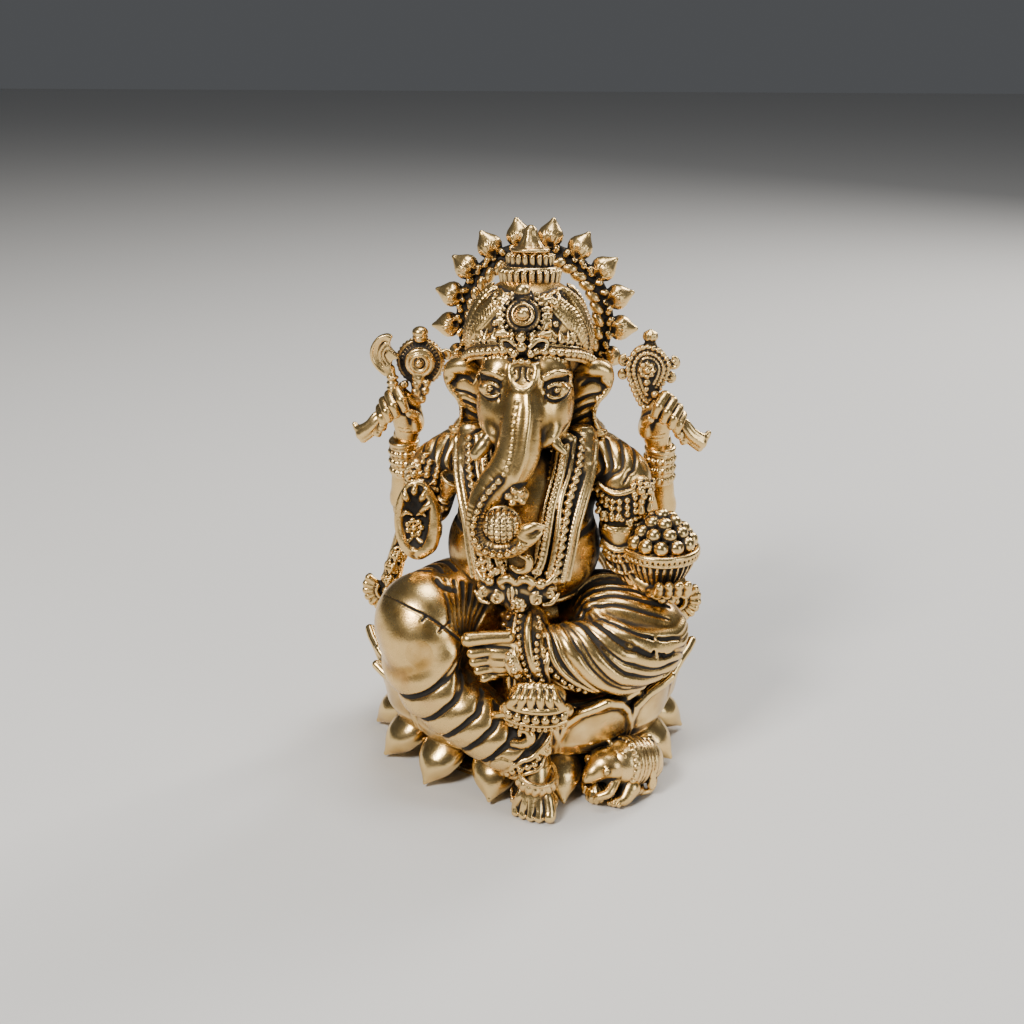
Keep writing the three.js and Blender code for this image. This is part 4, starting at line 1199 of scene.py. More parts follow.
@piece("head", "head", "trunk", slot="antique_gold", pad=1.2)
def head(clay):
    clay.ball((0, -6.4, 50.7), (5.8, 5.8, 5.9), k=0.5)
    clay.ball((0, -7.4, 54.0), (5.5, 4.2, 3.3), k=1.2)
    clay.ball((0, -7.6, 56.0), (4.6, 3.2, 1.6), k=0.6)
    for side in (-1, 1):
        clay.ball((2.6 * side, -9.5, 54.0), (2.7, 2.7, 2.6), k=1.0)  # forehead domes
        clay.ball((3.1 * side, -9.0, 49.2), (2.8, 3.8, 4.6), k=1.4)  # cheeks
        clay.ball((2.2 * side, -11.2, 48.6), (1.9, 2.2, 3.2), k=1.2)
    clay.ball((0, -5.8, 46.0), (4.8, 5.2, 3.0), k=1.8)
    for side in (-1, 1):
        eye(clay, 4.0 * side, 52.2, side)
    path = smooth_curve(TRUNK, 150)
    clay.tube(path, TRUNK_RADII, k=1.2, curve=False)
    # the open lip at the tip of the trunk, folded over the sweet
    clay.tube([(0.4, -18.2, 36.2), (1.7, -18.6, 37.2), (3.0, -18.4, 37.1)], [0.9, 0.6, 0.3], k=0.35)
    clay.tube(
        [(0.7, -18.3, 35.2), (1.8, -18.7, 35.8), (2.7, -18.5, 36.4)], [1.0, 0.65, 0.3], k=0.35,
    )
    clay.engrave(
        [(0.9, -19.4, 36.5), (1.9, -19.3, 36.5), (2.9, -18.9, 36.7)], [0.1, 0.24, 0.2], k=0.12,
        snap=False,
    )
    clay.tube(
        [
            (0.2, -17.4, 33.0), (1.2, -17.6, 32.6), (1.1, -17.6, 31.4), (0, -17.4, 30.9),
            (-0.9, -17.3, 31.4),
        ],
        [0.3, 0.5, 0.5, 0.4, 0.3], k=0.2,
    )
    for side in (-1, 1):
        # the sheath the tusk grows from, and the creases round it
        sheath = [
            (3.6 * side, -11.6, 48.6), (3.9 * side, -12.2, 47.5), (3.5 * side, -12.9, 46.7),
            (2.8 * side, -13.2, 46.1),
        ]
        clay.tube(sheath, [0.3, 0.7, 0.85, 0.5], k=1.0)
        clay.engrave(
            [(5.2 * side, -10.2, 48.0), (4.7 * side, -11.6, 46.9), (4.1 * side, -12.4, 46.0)],
            tapered(0.15, 0.06), k=0.3,
        )
        clay.engrave(
            [(2.2 * side, -11.4, 53.6), (2.5 * side, -12.2, 52.2), (2.5 * side, -12.8, 50.9)],
            tapered(0.12, 0.05), k=0.3,
        )
    # folds across the trunk, closer together towards the tip
    for at in np.concatenate([np.linspace(0.1, 0.46, 9), np.linspace(0.5, 0.95, 26)]):
        i = int(at * (len(path) - 2))
        way = unit(path[i + 1] - path[i])
        r = np.interp(at, np.linspace(0, 1, len(TRUNK_RADII)), TRUNK_RADII)
        clay.ring(path[i], way, r + 0.05, 0.03 if at < 0.48 else 0.1, k=0.12, cut=True)
    clay.cord(
        [
            (0.9, -14.4, 52.6), (0.9, -15.0, 50.0), (0.7, -16.4, 47.0), (0.5, -17.2, 44.8),
            (-0.3, -17.4, 42.4),
        ],
        tapered(0.2, 0.08), k=0.6,
    )
    # a string of beads runs down the trunk and grows round its curl
    fine = [
        (-0.5, -14.4, 51.2), (-0.8, -15.4, 49.0), (-1.0, -16.4, 46.6), (-1.4, -17.0, 44.2),
        (-2.4, -17.4, 42.4),
    ]
    clay.engrave(np.array(fine) + (0.42, 0, 0), tapered(0.08, 0.04), k=0.1)
    clay.beads(smooth_curve(fine, 160), 0.2, 0.85, lift=0.0)
    string = [
        (-2.4, -17.4, 42.4), (-3.9, -17.2, 40.6), (-4.9, -17.6, 38.8), (-5.5, -18.0, 37.0),
        (-5.4, -18.2, 35.4), (-4.4, -18.5, 34.1),
        (-2.8, -18.9, 33.5), (-1.0, -19.1, 33.9), (0.2, -19.2, 34.9),
    ]
    clay.beads(smooth_curve(string, 160), 0.42, 0.92, lift=0.14)
    # a rosette of beads in the crook of the trunk
    for x, z in ((-1.4, 40.4), (-0.7, 41.2), (-0.3, 40.2), (0.2, 40.9), (0.4, 39.8), (-0.9, 39.6)):
        clay.ball((x, -17.2, z), 0.42, 0.08)
    clay.ball((-0.4, -16.2, 40.4), (1.5, 1.2, 1.4), k=0.3)
    # an ornamental plate on the brow: two small curls over a scalloped point
    plate = clay.land(facing(((-1.5, 55.2), (0, 55.4), (1.5, 55.2))))
    clay.tube(plate, 0.34, k=0.3)
    for side in (-1, 1):
        curl = facing(((0.35, 54.9), (0.4, 53.9), (0.9, 53.5), (1.2, 53.9), (1.0, 54.4)), side)
        clay.engrave(clay.land(curl), 0.11, k=0.06, snap=False)
        edge = facing(((1.6, 54.8), (1.5, 53.8), (1.0, 53.0), (0.3, 52.7)), side)
        clay.tube(clay.land(smooth_curve(edge)), 0.2, k=0.5, curve=False)
        clay.beads(
            clay.land(
                smooth_curve(
                    [(4.9 * side, -8.0, 55.4), (3.2 * side, -9.0, 56.1), (1.4 * side, -9.0, 56.0)]
                ),
                back=8.0,
            ),
            0.26, 0.6, snap=False,
        )


@piece("right_tusk", slot="polished_gold")
def right_tusk(clay):
    clay.tube([(-3.6, -12.2, 47.0), (-4.6, -13.2, 45.6), (-5.5, -13.6, 44.5)], [0.8, 1.0, 0.85])
    clay.ring((-4.1, -12.8, 46.3), (-0.55, -0.35, -0.75), 0.82, 0.16, k=0.08)


@piece("left_tusk", slot="polished_gold")
def left_tusk(clay):
    clay.tube(
        [(3.2, -12.2, 47.1), (4.1, -13.1, 46.0), (5.1, -13.5, 45.1), (5.4, -13.6, 44.9)],
        [0.8, 0.7, 0.4, 0.12],
    )


@piece("modak", slot="jewel_gold")
def modak(clay):
    """A round sweet pressed with a waffle of square cells."""
    c = centre("modak")
    clay.ball(c, (2.3, 1.9, 2.1))
    x, _, z = clay.axes(clay.whole())
    cell = 0.78
    across, up = (np.abs(np.mod((v - o) / cell, 1) - 0.5) for v, o in ((x, c[0]), (z, c[2])))
    groove = np.clip((np.maximum(across, up) - 0.3) / 0.2, 0, 1)
    clay.field += (0.24 * groove).astype(np.float32)
    clay.ring(c + (0, 0.9, 0), (0, 1, 0), 2.1, 0.28, k=0.1)


def inside_outline(u, v, outline):
    """The signed distance to a closed outline in a plane, negative inside."""
    pts = np.asarray(outline, dtype=np.float64)
    best = np.full(np.broadcast(u, v).shape, 1e9)
    odd = np.zeros(best.shape, bool)
    for (ax, ay), (bx, by) in zip(pts, np.roll(pts, -1, axis=0)):
        ex, ey = bx - ax, by - ay
        wx, wy = u - ax, v - ay
        t = np.clip((wx * ex + wy * ey) / (ex * ex + ey * ey), 0, 1)
        best = np.minimum(best, (wx - ex * t) ** 2 + (wy - ey * t) ** 2)
        crosses = ((ay <= v) != (by <= v)) & (
            (u - ax) * ey * np.sign(by - ay) < (v - ay) * ex * np.sign(by - ay)
        )
        odd ^= crosses
    return np.where(odd, -1, 1) * np.sqrt(best)


def flat_curve(points, count=60):
    """A smooth closed outline through points in a plane."""
    p = [(a, b, 0) for a, b in points]
    return smooth_curve(p, count, closed=True)[:, :2]


@side_pieces("{}_ear", slot="antique_gold", pad=1.8)
def ear(clay, side, name):
    """A small folded ear: a soft lobe on top, hanging folds below it, and a flared hem."""
    outline = flat_curve(
        [
            (6.6, 53.2), (8.2, 54.0), (9.8, 53.6), (10.7, 52.2), (10.0, 50.2), (8.8, 48.6),
            (8.4, 46.8), (9.9, 44.6), (8.2, 43.4), (5.6, 43.8), (5.0, 46.6), (5.2, 50.4),
        ]
    )
    x, y, z = clay.axes(clay.whole())
    x = x * side
    bend = -3.9 + 0.1 * (x - 7.6) ** 2
    sheet = np.abs(y - bend - 0.6) - 1.2
    clay.blend(clay.whole(), np.maximum(sheet, inside_outline(x, z, outline)).astype(np.float32), 0)

    def lying(points, lift=0.0):
        return clay.land(
            smooth_curve(mirror([(px, -5.0, pz) for px, pz in points], side), 30), back=4.0,
            lift=lift,
        )

    # the lobe: a soft roll that turns over at the top and ends in a small curled lip
    clay.tube(
        mirror([(6.4, -3.6, 52.6), (8.0, -4.3, 53.2), (9.6, -4.0, 52.7), (10.2, -3.8, 51.6)], side),
        [0.9, 1.15, 1.0, 0.6], k=0.5,
    )
    clay.engrave(lying([(6.8, 51.0), (8.0, 51.7), (9.2, 51.3)]), tapered(0.16, 0.05), k=0.4)
    clay.tube(
        lying(
            [
                (9.6, 51.8), (10.2, 51.0), (9.7, 49.9), (8.9, 49.0), (8.4, 47.6), (8.5, 46.2),
                (9.2, 45.0),
            ],
            0.0,
        ),
        [0.5, 0.45, 0.4, 0.36, 0.34, 0.34, 0.36], k=0.3, curve=False,
    )
    for i in range(5):
        z0 = 50.6 - 1.25 * i
        out = 9.2 - 0.28 * i
        clay.engrave(
            lying([(5.4, z0 - 2.2), (6.6, z0 - 1.5), (7.8, z0 - 0.9), (out, z0 - 0.7)]),
            tapered(0.15, 0.06), k=0.4,
        )
    hem = [(5.6, 45.2), (7.4, 44.6), (9.7, 44.9)]
    clay.tube(lying(hem, 0.15), 0.4, k=0.12, curve=False)
    clay.beads(lying([(5.8, 44.3), (7.5, 43.7), (9.4, 44.1)], 0.15), 0.38, 0.8, snap=False)
    for i in range(4):
        z0 = 51.0 - 1.7 * i
        clay.engrave(
            [(6.6 * side, -1.2, z0), (8.0 * side, -1.0, z0 - 0.6), (9.0 * side, -1.2, z0)],
            tapered(0.2, 0.06), k=0.2,
        )


# ---------------------------------------------------------------- crown and halo


def landed_scroll(clay, x, z, size, start, way, r):
    """A small spiral laid on whatever surface faces the front, with a ball at its heart."""
    path = clay.land(spiral((x, -9.0, z), size, 1.0, start, way, 24, 0.75), back=6.0, lift=0.1)
    clay.tube(path, [r, r, 0.8 * r], k=0.06, curve=False)
    clay.ball(path[-1], 1.3 * r, 0.05)


@piece("crown_dome", slot="antique_gold", pad=0.9)
def crown_dome(clay):
    clay.ball((0, -3.0, 57.8), (7.6, 7.0, 6.5), k=0.5, rot=turn((1, 0, 0), -8))
    clay.ball((0, -1.6, 54.6), (7.4, 5.4, 4.0), k=1.5)
    for side in (-1, 1):
        # overlapping leaf panels on each flank, each with a raised midrib and slanting veins
        leaves = (
            ((2.4, -7.6, 63.0), (4.2, -7.4, 61.4), (5.8, -6.4, 58.8), (6.9, -5.2, 55.6), 1.5),
            ((4.0, -5.2, 63.0), (6.2, -4.6, 60.6), (7.4, -3.8, 57.6), (7.5, -3.0, 54.4), 1.6),
            ((4.8, -0.8, 62.4), (6.8, -0.4, 59.4), (7.4, 0.0, 56.4), (7.4, 0.2, 53.6), 1.6),
            ((3.0, 2.2, 62.0), (5.0, 3.2, 59.0), (5.8, 3.6, 56.0), (5.6, 3.6, 53.6), 1.5),
        )
        for a, b, c, d, wide in leaves:
            spine = clay.snap(smooth_curve(mirror([a, b, c, d], side), 44), 0.0)
            normal = clay.normals(spine)
            along = np.gradient(spine, axis=0)
            across = np.cross(normal, along)
            across /= np.maximum(np.linalg.norm(across, axis=1, keepdims=True), 1e-6)
            width = wide * np.sin(np.linspace(0.3, math.pi - 0.2, 44)) ** 0.7
            clay.tube(spine, width, k=0.15, curve=False, flat=unit(normal.mean(0)), thin=0.25)
            edge = clay.snap(spine + 0.1 * normal, 0.0)
            clay.tube(edge, 0.16, k=0.1, curve=False)
            for hand in (-1, 1):
                clay.engrave(edge + hand * 0.95 * width[:, None] * across, 0.15, k=0.1, count=44)
                for i in range(3, 39, 2):
                    tip = min(43, i + 2)
                    ends = np.array([edge[i], edge[tip] + hand * 0.8 * width[tip] * across[tip]])
                    clay.engrave(clay.snap(ends, 0.0), 0.1, k=0.06)
    # bold scrollwork between the medallion, the leaves and the band
    for side in (-1, 1):
        for x, z, size, start, way, r in (
            (3.3, 62.2, 0.85, 150, -1, 0.32), (2.2, 58.6, 0.6, 90, 1, 0.26),
            (5.6, 57.6, 0.6, 60, 1, 0.28),
        ):
            start = start if side > 0 else 180 - start
            landed_scroll(clay, x * side, z, size, start, way * side, r)
        stem = facing(((1.2, 59.4), (2.6, 59.3), (3.8, 58.2), (5.0, 57.9)), side)
        path = clay.land(smooth_curve(stem, 30), back=6.0, lift=0.05)
        clay.tube(path, tapered(0.34, 0.14), k=0.06, curve=False)
        dots = facing(((3.0, 57.9), (1.6, 57.9), (4.2, 57.2), (3.6, 59.6)), side)
        for q in clay.land(dots, back=6.0, lift=0.1):
            clay.ball(q, 0.42, 0.04)
    # the wrap at the back: folds that sweep up to the tiers
    for i in range(9):
        a = math.radians(100 + 160 * i / 8)
        path = [
            (7.6 * math.sin(a), -2.0 - 7.0 * math.cos(a), 53.6),
            (7.4 * math.sin(a), -2.6 - 6.6 * math.cos(a), 58.0),
            (4.2 * math.sin(a), -2.4 - 3.6 * math.cos(a), 62.8),
        ]
        clay.engrave(path, tapered(0.26, 0.1), k=0.35)
    clay.cord(
        [(6.8, 1.6, 53.2), (3.6, 3.6, 53.0), (0, 4.4, 52.9), (-3.6, 3.6, 53.0), (-6.8, 1.6, 53.2)],
        0.5, k=0.15, lift=0.1,
    )
    clay.beads(
        smooth_curve(
            [
                (6.8, 1.8, 54.5), (3.6, 3.9, 54.3), (0, 4.6, 54.2), (-3.6, 3.9, 54.3),
                (-6.8, 1.8, 54.5),
            ]
        ),
        0.42, 1.0, lift=0.1,
    )


@piece("crown_band", slot="jewel_gold", pad=1.2)
def crown_band(clay):
    side_line = [
        (7.8, -1.8, 53.2), (7.5, -4.4, 54.4), (6.5, -7.0, 55.5), (4.9, -9.1, 56.2),
        (2.7, -10.4, 56.7),
    ]
    core = mirror(side_line, -1) + [(0, -10.9, 56.9)] + side_line[::-1]
    path = smooth_curve(core, 110)
    out = path - (0, -2.0, 52.0)
    out[:, 2] *= 0.15
    out /= np.linalg.norm(out, axis=1, keepdims=True)
    clay.tube(path, [0.5, 0.6, 0.62, 0.66, 0.62, 0.6, 0.5], curve=False)
    clay.tube(path - 0.8 * out + (0, 0, 0.5), 0.8, k=0.3, curve=False)
    clay.tube(path + 0.05 * out + (0, 0, -0.7), 0.24, k=0.06, curve=False)
    clay.beads(path + 0.5 * out, 0.5, 1.02, snap=False)
    clay.tube(path + 0.1 * out + (0, 0, 0.75), 0.22, k=0.06, curve=False)
    clay.beads(path - 0.2 * out + (0, 0, 1.35), 0.42, 0.9, snap=False)
    # leaves stand on the band, and a small cluster hangs from it over the forehead
    for i in range(8, 102, 6):
        if abs(i - 55) > 7:
            clay.tube(
                [path[i] - 0.2 * out[i] + (0, 0, 1.5), path[i] - 0.6 * out[i] + (0, 0, 2.7)],
                [0.5, 0.12], k=0.08,
            )
    for x, y, z, r in (
        (-0.3, -11.6, 58.6, 0.62), (-1.1, -11.7, 56.6, 0.5), (0.9, -11.7, 56.6, 0.5),
        (-0.2, -12.0, 57.5, 0.62),
        (-0.2, -12.0, 55.8, 0.46), (-1.4, -11.3, 58.2, 0.42), (1.0, -11.3, 58.2, 0.42),
        (-1.0, -11.9, 55.7, 0.36), (0.6, -11.9, 55.7, 0.36),
    ):
        clay.ball((x, y, z), r, 0.06)
    for side in (-1, 1):
        clay.tube(
            mirror(
                [(0.7, -11.6, 57.4), (1.7, -11.2, 58.2), (2.7, -10.6, 58.0), (2.7, -10.8, 57.2)],
                side,
            ),
            0.3, k=0.08,
        )


@piece("crown_medallion", slot="jewel_gold", pad=1.6)
def crown_medallion(clay):
    axis = unit((0, -0.9, 0.44))
    c = vec(-0.2, -9.7, 60.8)
    # a boss of stepped rings that rises to a knob
    clay.turned(
        c, axis,
        [
            (-1.6, 2.1), (-0.1, 2.1), (0.15, 2.0), (0.2, 1.5), (0.65, 1.45), (0.7, 0.9),
            (1.15, 0.8), (1.2, 0.4),
        ],
        k=0,
    )
    clay.ring(c + 0.1 * axis, axis, 1.8, 0.3, k=0.04)
    clay.ring(c + 0.6 * axis, axis, 1.2, 0.26, k=0.04)
    clay.ball(c + 1.2 * axis, 0.68, 0.03)
    bead_ring(clay, c - 0.1 * axis, axis, 2.4, 20, 0.28)
    # a ribbed arch over it, and a knob at the arch's crown
    m = basis(axis)
    for i in range(15):
        a = math.radians(-10 + 200 * i / 14)
        way = m[0] * math.cos(a) + m[1] * math.sin(a)
        clay.tube([c + 2.5 * way - 0.3 * axis, c + 3.2 * way - 0.5 * axis], [0.24, 0.32], k=0.06)
    clay.ring(c - 0.6 * axis, axis, 2.8, 0.4, k=0.15)
    clay.tube([(-0.2, -8.6, 62.6), (-0.3, -7.8, 63.6)], [0.9, 0.8], k=0.2)
    clay.ball((-0.4, -8.5, 63.5), 0.95, 0.1)
    for side in (-1, 1):
        scroll(clay, (-0.2 + 3.5 * side, -9.0, 60.4), 1.15, 1.15, 90, -side, 0.34)
        scroll(clay, (-0.2 + 5.0 * side, -8.4, 58.9), 0.8, 1.0, 60, side, 0.28)
        clay.tube(
            mirror(
                [(1.8, -10.4, 58.6), (3.2, -10.1, 58.7), (4.3, -9.3, 58.2), (5.3, -8.4, 58.0)],
                side,
            ),
            [0.3, 0.45, 0.42, 0.25], k=0.1,
        )
        clay.tube(
            mirror([(2.2, -8.4, 62.4), (3.4, -7.9, 62.4), (4.4, -7.4, 61.6)], side),
            [0.3, 0.42, 0.25], k=0.1,
        )
    for x, y, z, r in (
        (-0.2, -11.1, 58.7, 0.5), (-1.4, -10.9, 58.7, 0.42), (1.0, -10.9, 58.7, 0.42),
    ):
        clay.ball((x, y, z), r, 0.08)


def tooth_row(clay, c, axis, radius, low, high, count, r, lean):
    """Upright teeth round a tier, each a small rounded flute that leans out by lean."""
    m = basis(axis)
    for u, v in wheel(count, start=0.5):
        way = m[0] * u + m[1] * v
        clay.tube(
            [c + radius * way + low * m[2], c + (radius + lean) * way + high * m[2]], [r, 0.8 * r],
            k=0.05,
        )


@piece("crown_tiers", slot="jewel_gold")
def crown_tiers(clay):
    axis = unit((0, 0.1, 1))
    c = vec(0, -1.4, 64.2)
    clay.turned(
        c, axis,
        [(-2.0, 3.3), (-1.2, 3.6), (-0.4, 3.2), (0.0, 3.5), (0.9, 2.6), (1.4, 2.4), (2.4, 1.9)],
    )
    tooth_row(clay, c, axis, 3.3, -0.9, 0.4, 24, 0.46, 0.35)
    clay.ring(c + 0.75 * axis, axis, 3.1, 0.36, k=0.06)
    tooth_row(clay, c + vec(0, 0.2, 0), axis, 2.5, 0.9, 2.3, 20, 0.42, 0.3)
    bead_ring(clay, c - 1.9 * axis, axis, 3.6, 24, 0.42)


@piece("crown_finial", slot="jewel_gold", pad=0.9)
def crown_finial(clay):
    axis = unit((0, 0.1, 1))
    c = centre("crown_finial") - 1.6 * axis
    clay.turned(
        c, axis,
        [
            (-0.3, 2.3), (0.4, 2.3), (0.7, 1.75), (1.3, 1.3), (2.0, 1.0), (2.7, 0.85), (3.1, 0.6),
            (3.35, 0.2),
        ],
        flutes=10, depth=0.06,
    )
    clay.ring(c + 0.25 * axis, axis, 2.2, 0.28, k=0.06)


HALO_BUDS, HALO_STEP = 12, 20.8  # buds on the rim, degrees between them
HALO_ROPE, HALO_BEADS = 33, 44  # twists of the rope, small beads outside it
BUD = (  # its radius at shares of its height
    (0, 0.9), (0.12, 1.35), (0.28, 1.66), (0.45, 1.68), (0.6, 1.4), (0.74, 0.9), (0.86, 0.5),
    (0.96, 0.28), (1, 0.1),
)


@piece("halo", slot="jewel_gold", pad=0.9)
def halo(clay):
    c = vec(0, centre("halo")[1], 56.7)
    clay.ring(c, (0, 1, 0), 8.7, 0.95, squash=0.9)
    clay.ring(c + (0, 0.3, 0), (0, 1, 0), 9.7, 0.7, k=0.3)
    for u, v in wheel(HALO_ROPE):  # the tilted beads of the rope
        way, run = vec(v, 0, u), vec(u, 0, -v)
        lie = unit(run + 0.65 * way)
        rot = np.array([lie, np.cross(lie, (0, 1, 0)), (0, 1, 0)])
        for y, high in ((-0.75, 0.8), (0.95, 0.6)):
            clay.ball(c + 8.4 * way + (0, y, 0), (1.15, 0.72, high), 0.03, rot=rot)
    for u, v in wheel(HALO_BEADS):
        clay.ball(c + 9.75 * vec(v, 0, u) + (0, -0.7, 0), 0.42, 0.03)
    for i in range(HALO_BUDS):
        step = i - (HALO_BUDS - 1) / 2
        size = 0.85 if abs(step) == (HALO_BUDS - 1) / 2 else 1.0
        a = math.radians(step * HALO_STEP)
        way, across = vec(math.sin(a), 0, math.cos(a)), vec(math.cos(a), 0, -math.sin(a))
        root = c + 9.9 * way
        reach = 3.8 * size
        clay.turned(root, way, [(share * reach, r * size) for share, r in BUD], k=0.1)
        # an inner bud, ribbed, with the hood of the outer one rising behind it to the tip
        for front in (-1, 1):
            middle = root + 1.3 * size * way + (0, 0.75 * front, 0)
            clay.ball(middle, (1.2 * size, 1.1 * size, 1.3 * size), 0.05)
            for lean in (-0.8, -0.4, 0.0, 0.4, 0.8):
                rib = [
                    root + 0.1 * way + 0.2 * lean * across + (0, 1.3 * front, 0),
                    middle + 0.8 * lean * size * across + (0, 1.0 * front, 0),
                    middle + 0.9 * size * way + 1.0 * lean * size * across + (0, 0.5 * front, 0),
                ]
                clay.engrave(rib, [0.2, 0.2, 0.08], k=0.05)
        for hand in (-1, 1):
            clay.ball(root + 0.1 * way + 1.1 * hand * across + (0, -0.8, 0), 0.42 * size, 0.06)


# ---------------------------------------------------------------- front arms


def sleeve(clay, side, path, radii):
    """A short sleeve with slanting folds, seen from the shoulder down."""
    path = mirror(path, side)
    clay.tube(path, radii, k=0.3)
    for i in range(4):
        share = i / 3
        top = vec(side * (8.4 + 4.8 * share), -5.2 + 2.8 * share, 44.2 - 1.0 * share)
        low = vec(side * (8.2 + 4.0 * share), -6.8 + 0.6 * share, 38.6 + 0.4 * share)
        middle = (top + low) / 2 + (side * 0.9, -2.2, 0.2)
        clay.engrave([top, middle, low], tapered(0.13, 0.04), k=0.6)
    # a hem and three rows of beads round the end of the sleeve
    for drop in (0.0, 1.0, 1.9, 2.8):
        row = smooth_curve(
            mirror(
                [
                    (8.6, -7.4, 38.9 - drop), (10.4, -8.6, 38.2 - drop), (12.4, -8.4, 38.2 - drop),
                    (14.4, -7.0, 38.9 - drop), (15.4, -4.6, 39.6 - drop),
                ],
                side,
            ),
            40,
        )
        if drop:
            clay.beads(row, 0.44, 0.92, lift=0.1)
        else:
            clay.cord(row[::8], 0.3, k=0.1, lift=0.1)


@piece("left_front_upper_arm", slot="antique_gold", pad=1.6)
def left_front_upper_arm(clay):
    sleeve(clay, 1, [(9.2, -2.8, 41.0), (12.0, -4.4, 38.8), (12.2, -5.8, 35.0)], [3.5, 3.9, 3.0])
    # loops of beads and a twisted strap hang round the arm below the sleeve
    for drop in (0.0, 1.1):
        loop = [
            (8.6, -8.6, 36.0 - drop), (10.0, -9.6, 34.6 - drop), (12.0, -9.8, 34.2 - drop),
            (14.0, -9.0, 34.6 - drop), (15.4, -6.6, 35.2 - drop),
        ]
        clay.beads(smooth_curve(loop), 0.36, 0.78, lift=0.08)
    clay.cord(
        [(8.8, -8.4, 33.2), (10.8, -9.4, 32.4), (13.0, -8.8, 32.8), (15.0, -6.6, 33.6)], 0.5,
        k=0.15, lift=0.1,
    )


@piece("right_front_upper_arm", slot="antique_gold", pad=1.6)
def right_front_upper_arm(clay):
    sleeve(clay, -1, [(9.2, -2.8, 41.0), (11.9, -3.6, 38.8), (12.6, -3.2, 34.0)], [3.5, 3.7, 2.5])
    for i in range(4):
        clay.beads(
            smooth_curve(
                [
                    (-13.2 + 0.95 * i, -6.4 - 0.4 * i, 42.0 - 0.9 * i),
                    (-13.8 + 0.95 * i, -6.4 - 0.4 * i, 39.0 - 0.6 * i),
                ]
            ),
            0.46, 0.94, lift=0.12,
        )
    for drop in (0.0, 1.0):
        loop = [(-8.8, -8.6, 35.6 - drop), (-10.0, -9.0, 34.8 - drop), (-11.2, -8.4, 34.8 - drop)]
        clay.beads(smooth_curve(loop), 0.36, 0.78, lift=0.08)


@piece("left_armlet", slot="jewel_gold", pad=1.2)
def left_armlet(clay):
    """A gathered knot with three tassels that hang over the sleeve."""
    c = centre("left_armlet")
    clay.ball(c + (-0.3, 0.2, 1.0), (1.5, 1.3, 1.5), k=0.3)
    clay.tube([c + (-0.2, 0, 0), c + (0.1, -0.3, -2.2)], [1.1, 0.6], k=0.5)
    for dx, dz, r in (
        (-1.1, 1.3, 0.46), (-0.3, 1.9, 0.46), (0.6, 1.6, 0.46), (1.0, 0.7, 0.46), (0.3, 0.1, 0.46),
        (-0.9, 0.3, 0.46), (-0.1, 0.9, 0.62),
    ):
        clay.ball(c + (dx, -1.15 + 0.25 * abs(dx), dz), r, 0.04)
    for dx in (-1.3, 0.0, 1.2):
        at = c + (dx, -1.0 + 0.3 * abs(dx), -0.7 + 0.2 * abs(dx))
        clay.turned(
            at, (0.1 * dx, 0, 1),
            [
                (-1.9, 0.12), (-1.4, 0.55), (-0.7, 0.42), (-0.4, 0.3), (0.0, 0.52), (0.5, 0.3),
                (1.0, 0.24),
            ],
            k=0.06,
        )


@piece("right_armlet", slot="jewel_gold")
def right_armlet(clay):
    c = centre("right_armlet")
    clay.ball(c, (1.35, 1.25, 1.75), k=0.2)
    for u, v in wheel(7):
        clay.ball(c + (0.85 * u, -1.0, 1.15 * v), 0.48, 0.05)
    clay.ball(c + (0, -1.2, 0), 0.55, 0.05)


@piece("left_front_forearm", slot="antique_gold", pad=1.2)
def left_front_forearm(clay):
    clay.tube([(12.0, -6.6, 33.0), (12.6, -7.2, 29.6), (14.2, -7.8, 26.6)], [2.7, 2.4, 1.9])
    for lift, r in ((0.0, 0.32), (-1.5, 0.3), (-3.2, 0.26)):
        clay.cord(
            [
                (9.4, -8.6, 31.6 + lift), (11.4, -9.6, 30.9 + lift), (13.6, -9.0, 31.2 + lift),
                (15.2, -6.6, 31.8 + lift),
            ],
            r, k=0.12, lift=0.1,
        )
    clay.beads(
        smooth_curve(
            [(9.4, -8.6, 30.9), (11.4, -9.6, 30.1), (13.6, -9.0, 30.4), (15.2, -6.6, 31.0)]
        ),
        0.38, 0.8, lift=0.1,
    )
    for x in (-0.8, 0.2, 1.2):
        clay.engrave(
            [(11.4 + x, -9.6, 30.0), (12.2 + x, -9.8, 28.2), (13.4 + x, -9.9, 26.6)],
            tapered(0.16, 0.06), k=0.3,
        )


@piece("left_front_hand", slot="antique_gold", pad=1.5)
def left_front_hand(clay):
    c = centre("left_front_hand")
    clay.tube([(14.2, -8.0, 26.6), (17.0, -9.4, 25.8), (19.4, -9.6, 26.6)], [1.5, 1.7, 1.4])
    # the fingertips come up round the bowl's near side, over their rings
    for i, x in enumerate((17.2, 18.4, 19.6, 20.7)):
        z = c[2] + 0.1 * i
        clay.tube(
            [(x - 1.0, -10.4, z - 0.8), (x - 0.2, -12.0, z - 0.2), (x, -12.6, z + 0.8)],
            [0.72, 0.68, 0.62], k=0.1,
        )
        clay.ring((x - 0.3, -11.9, z - 0.3), (0.3, -0.8, 0.6), 0.68, 0.16, k=0.05)
        clay.ball((x, -12.75, z + 1.0), 0.6, 0.1)
    for x in (17.6, 18.8):
        clay.ball((x, -11.4, 25.2), 0.55, 0.15)


BOWL_RIM = 31.3


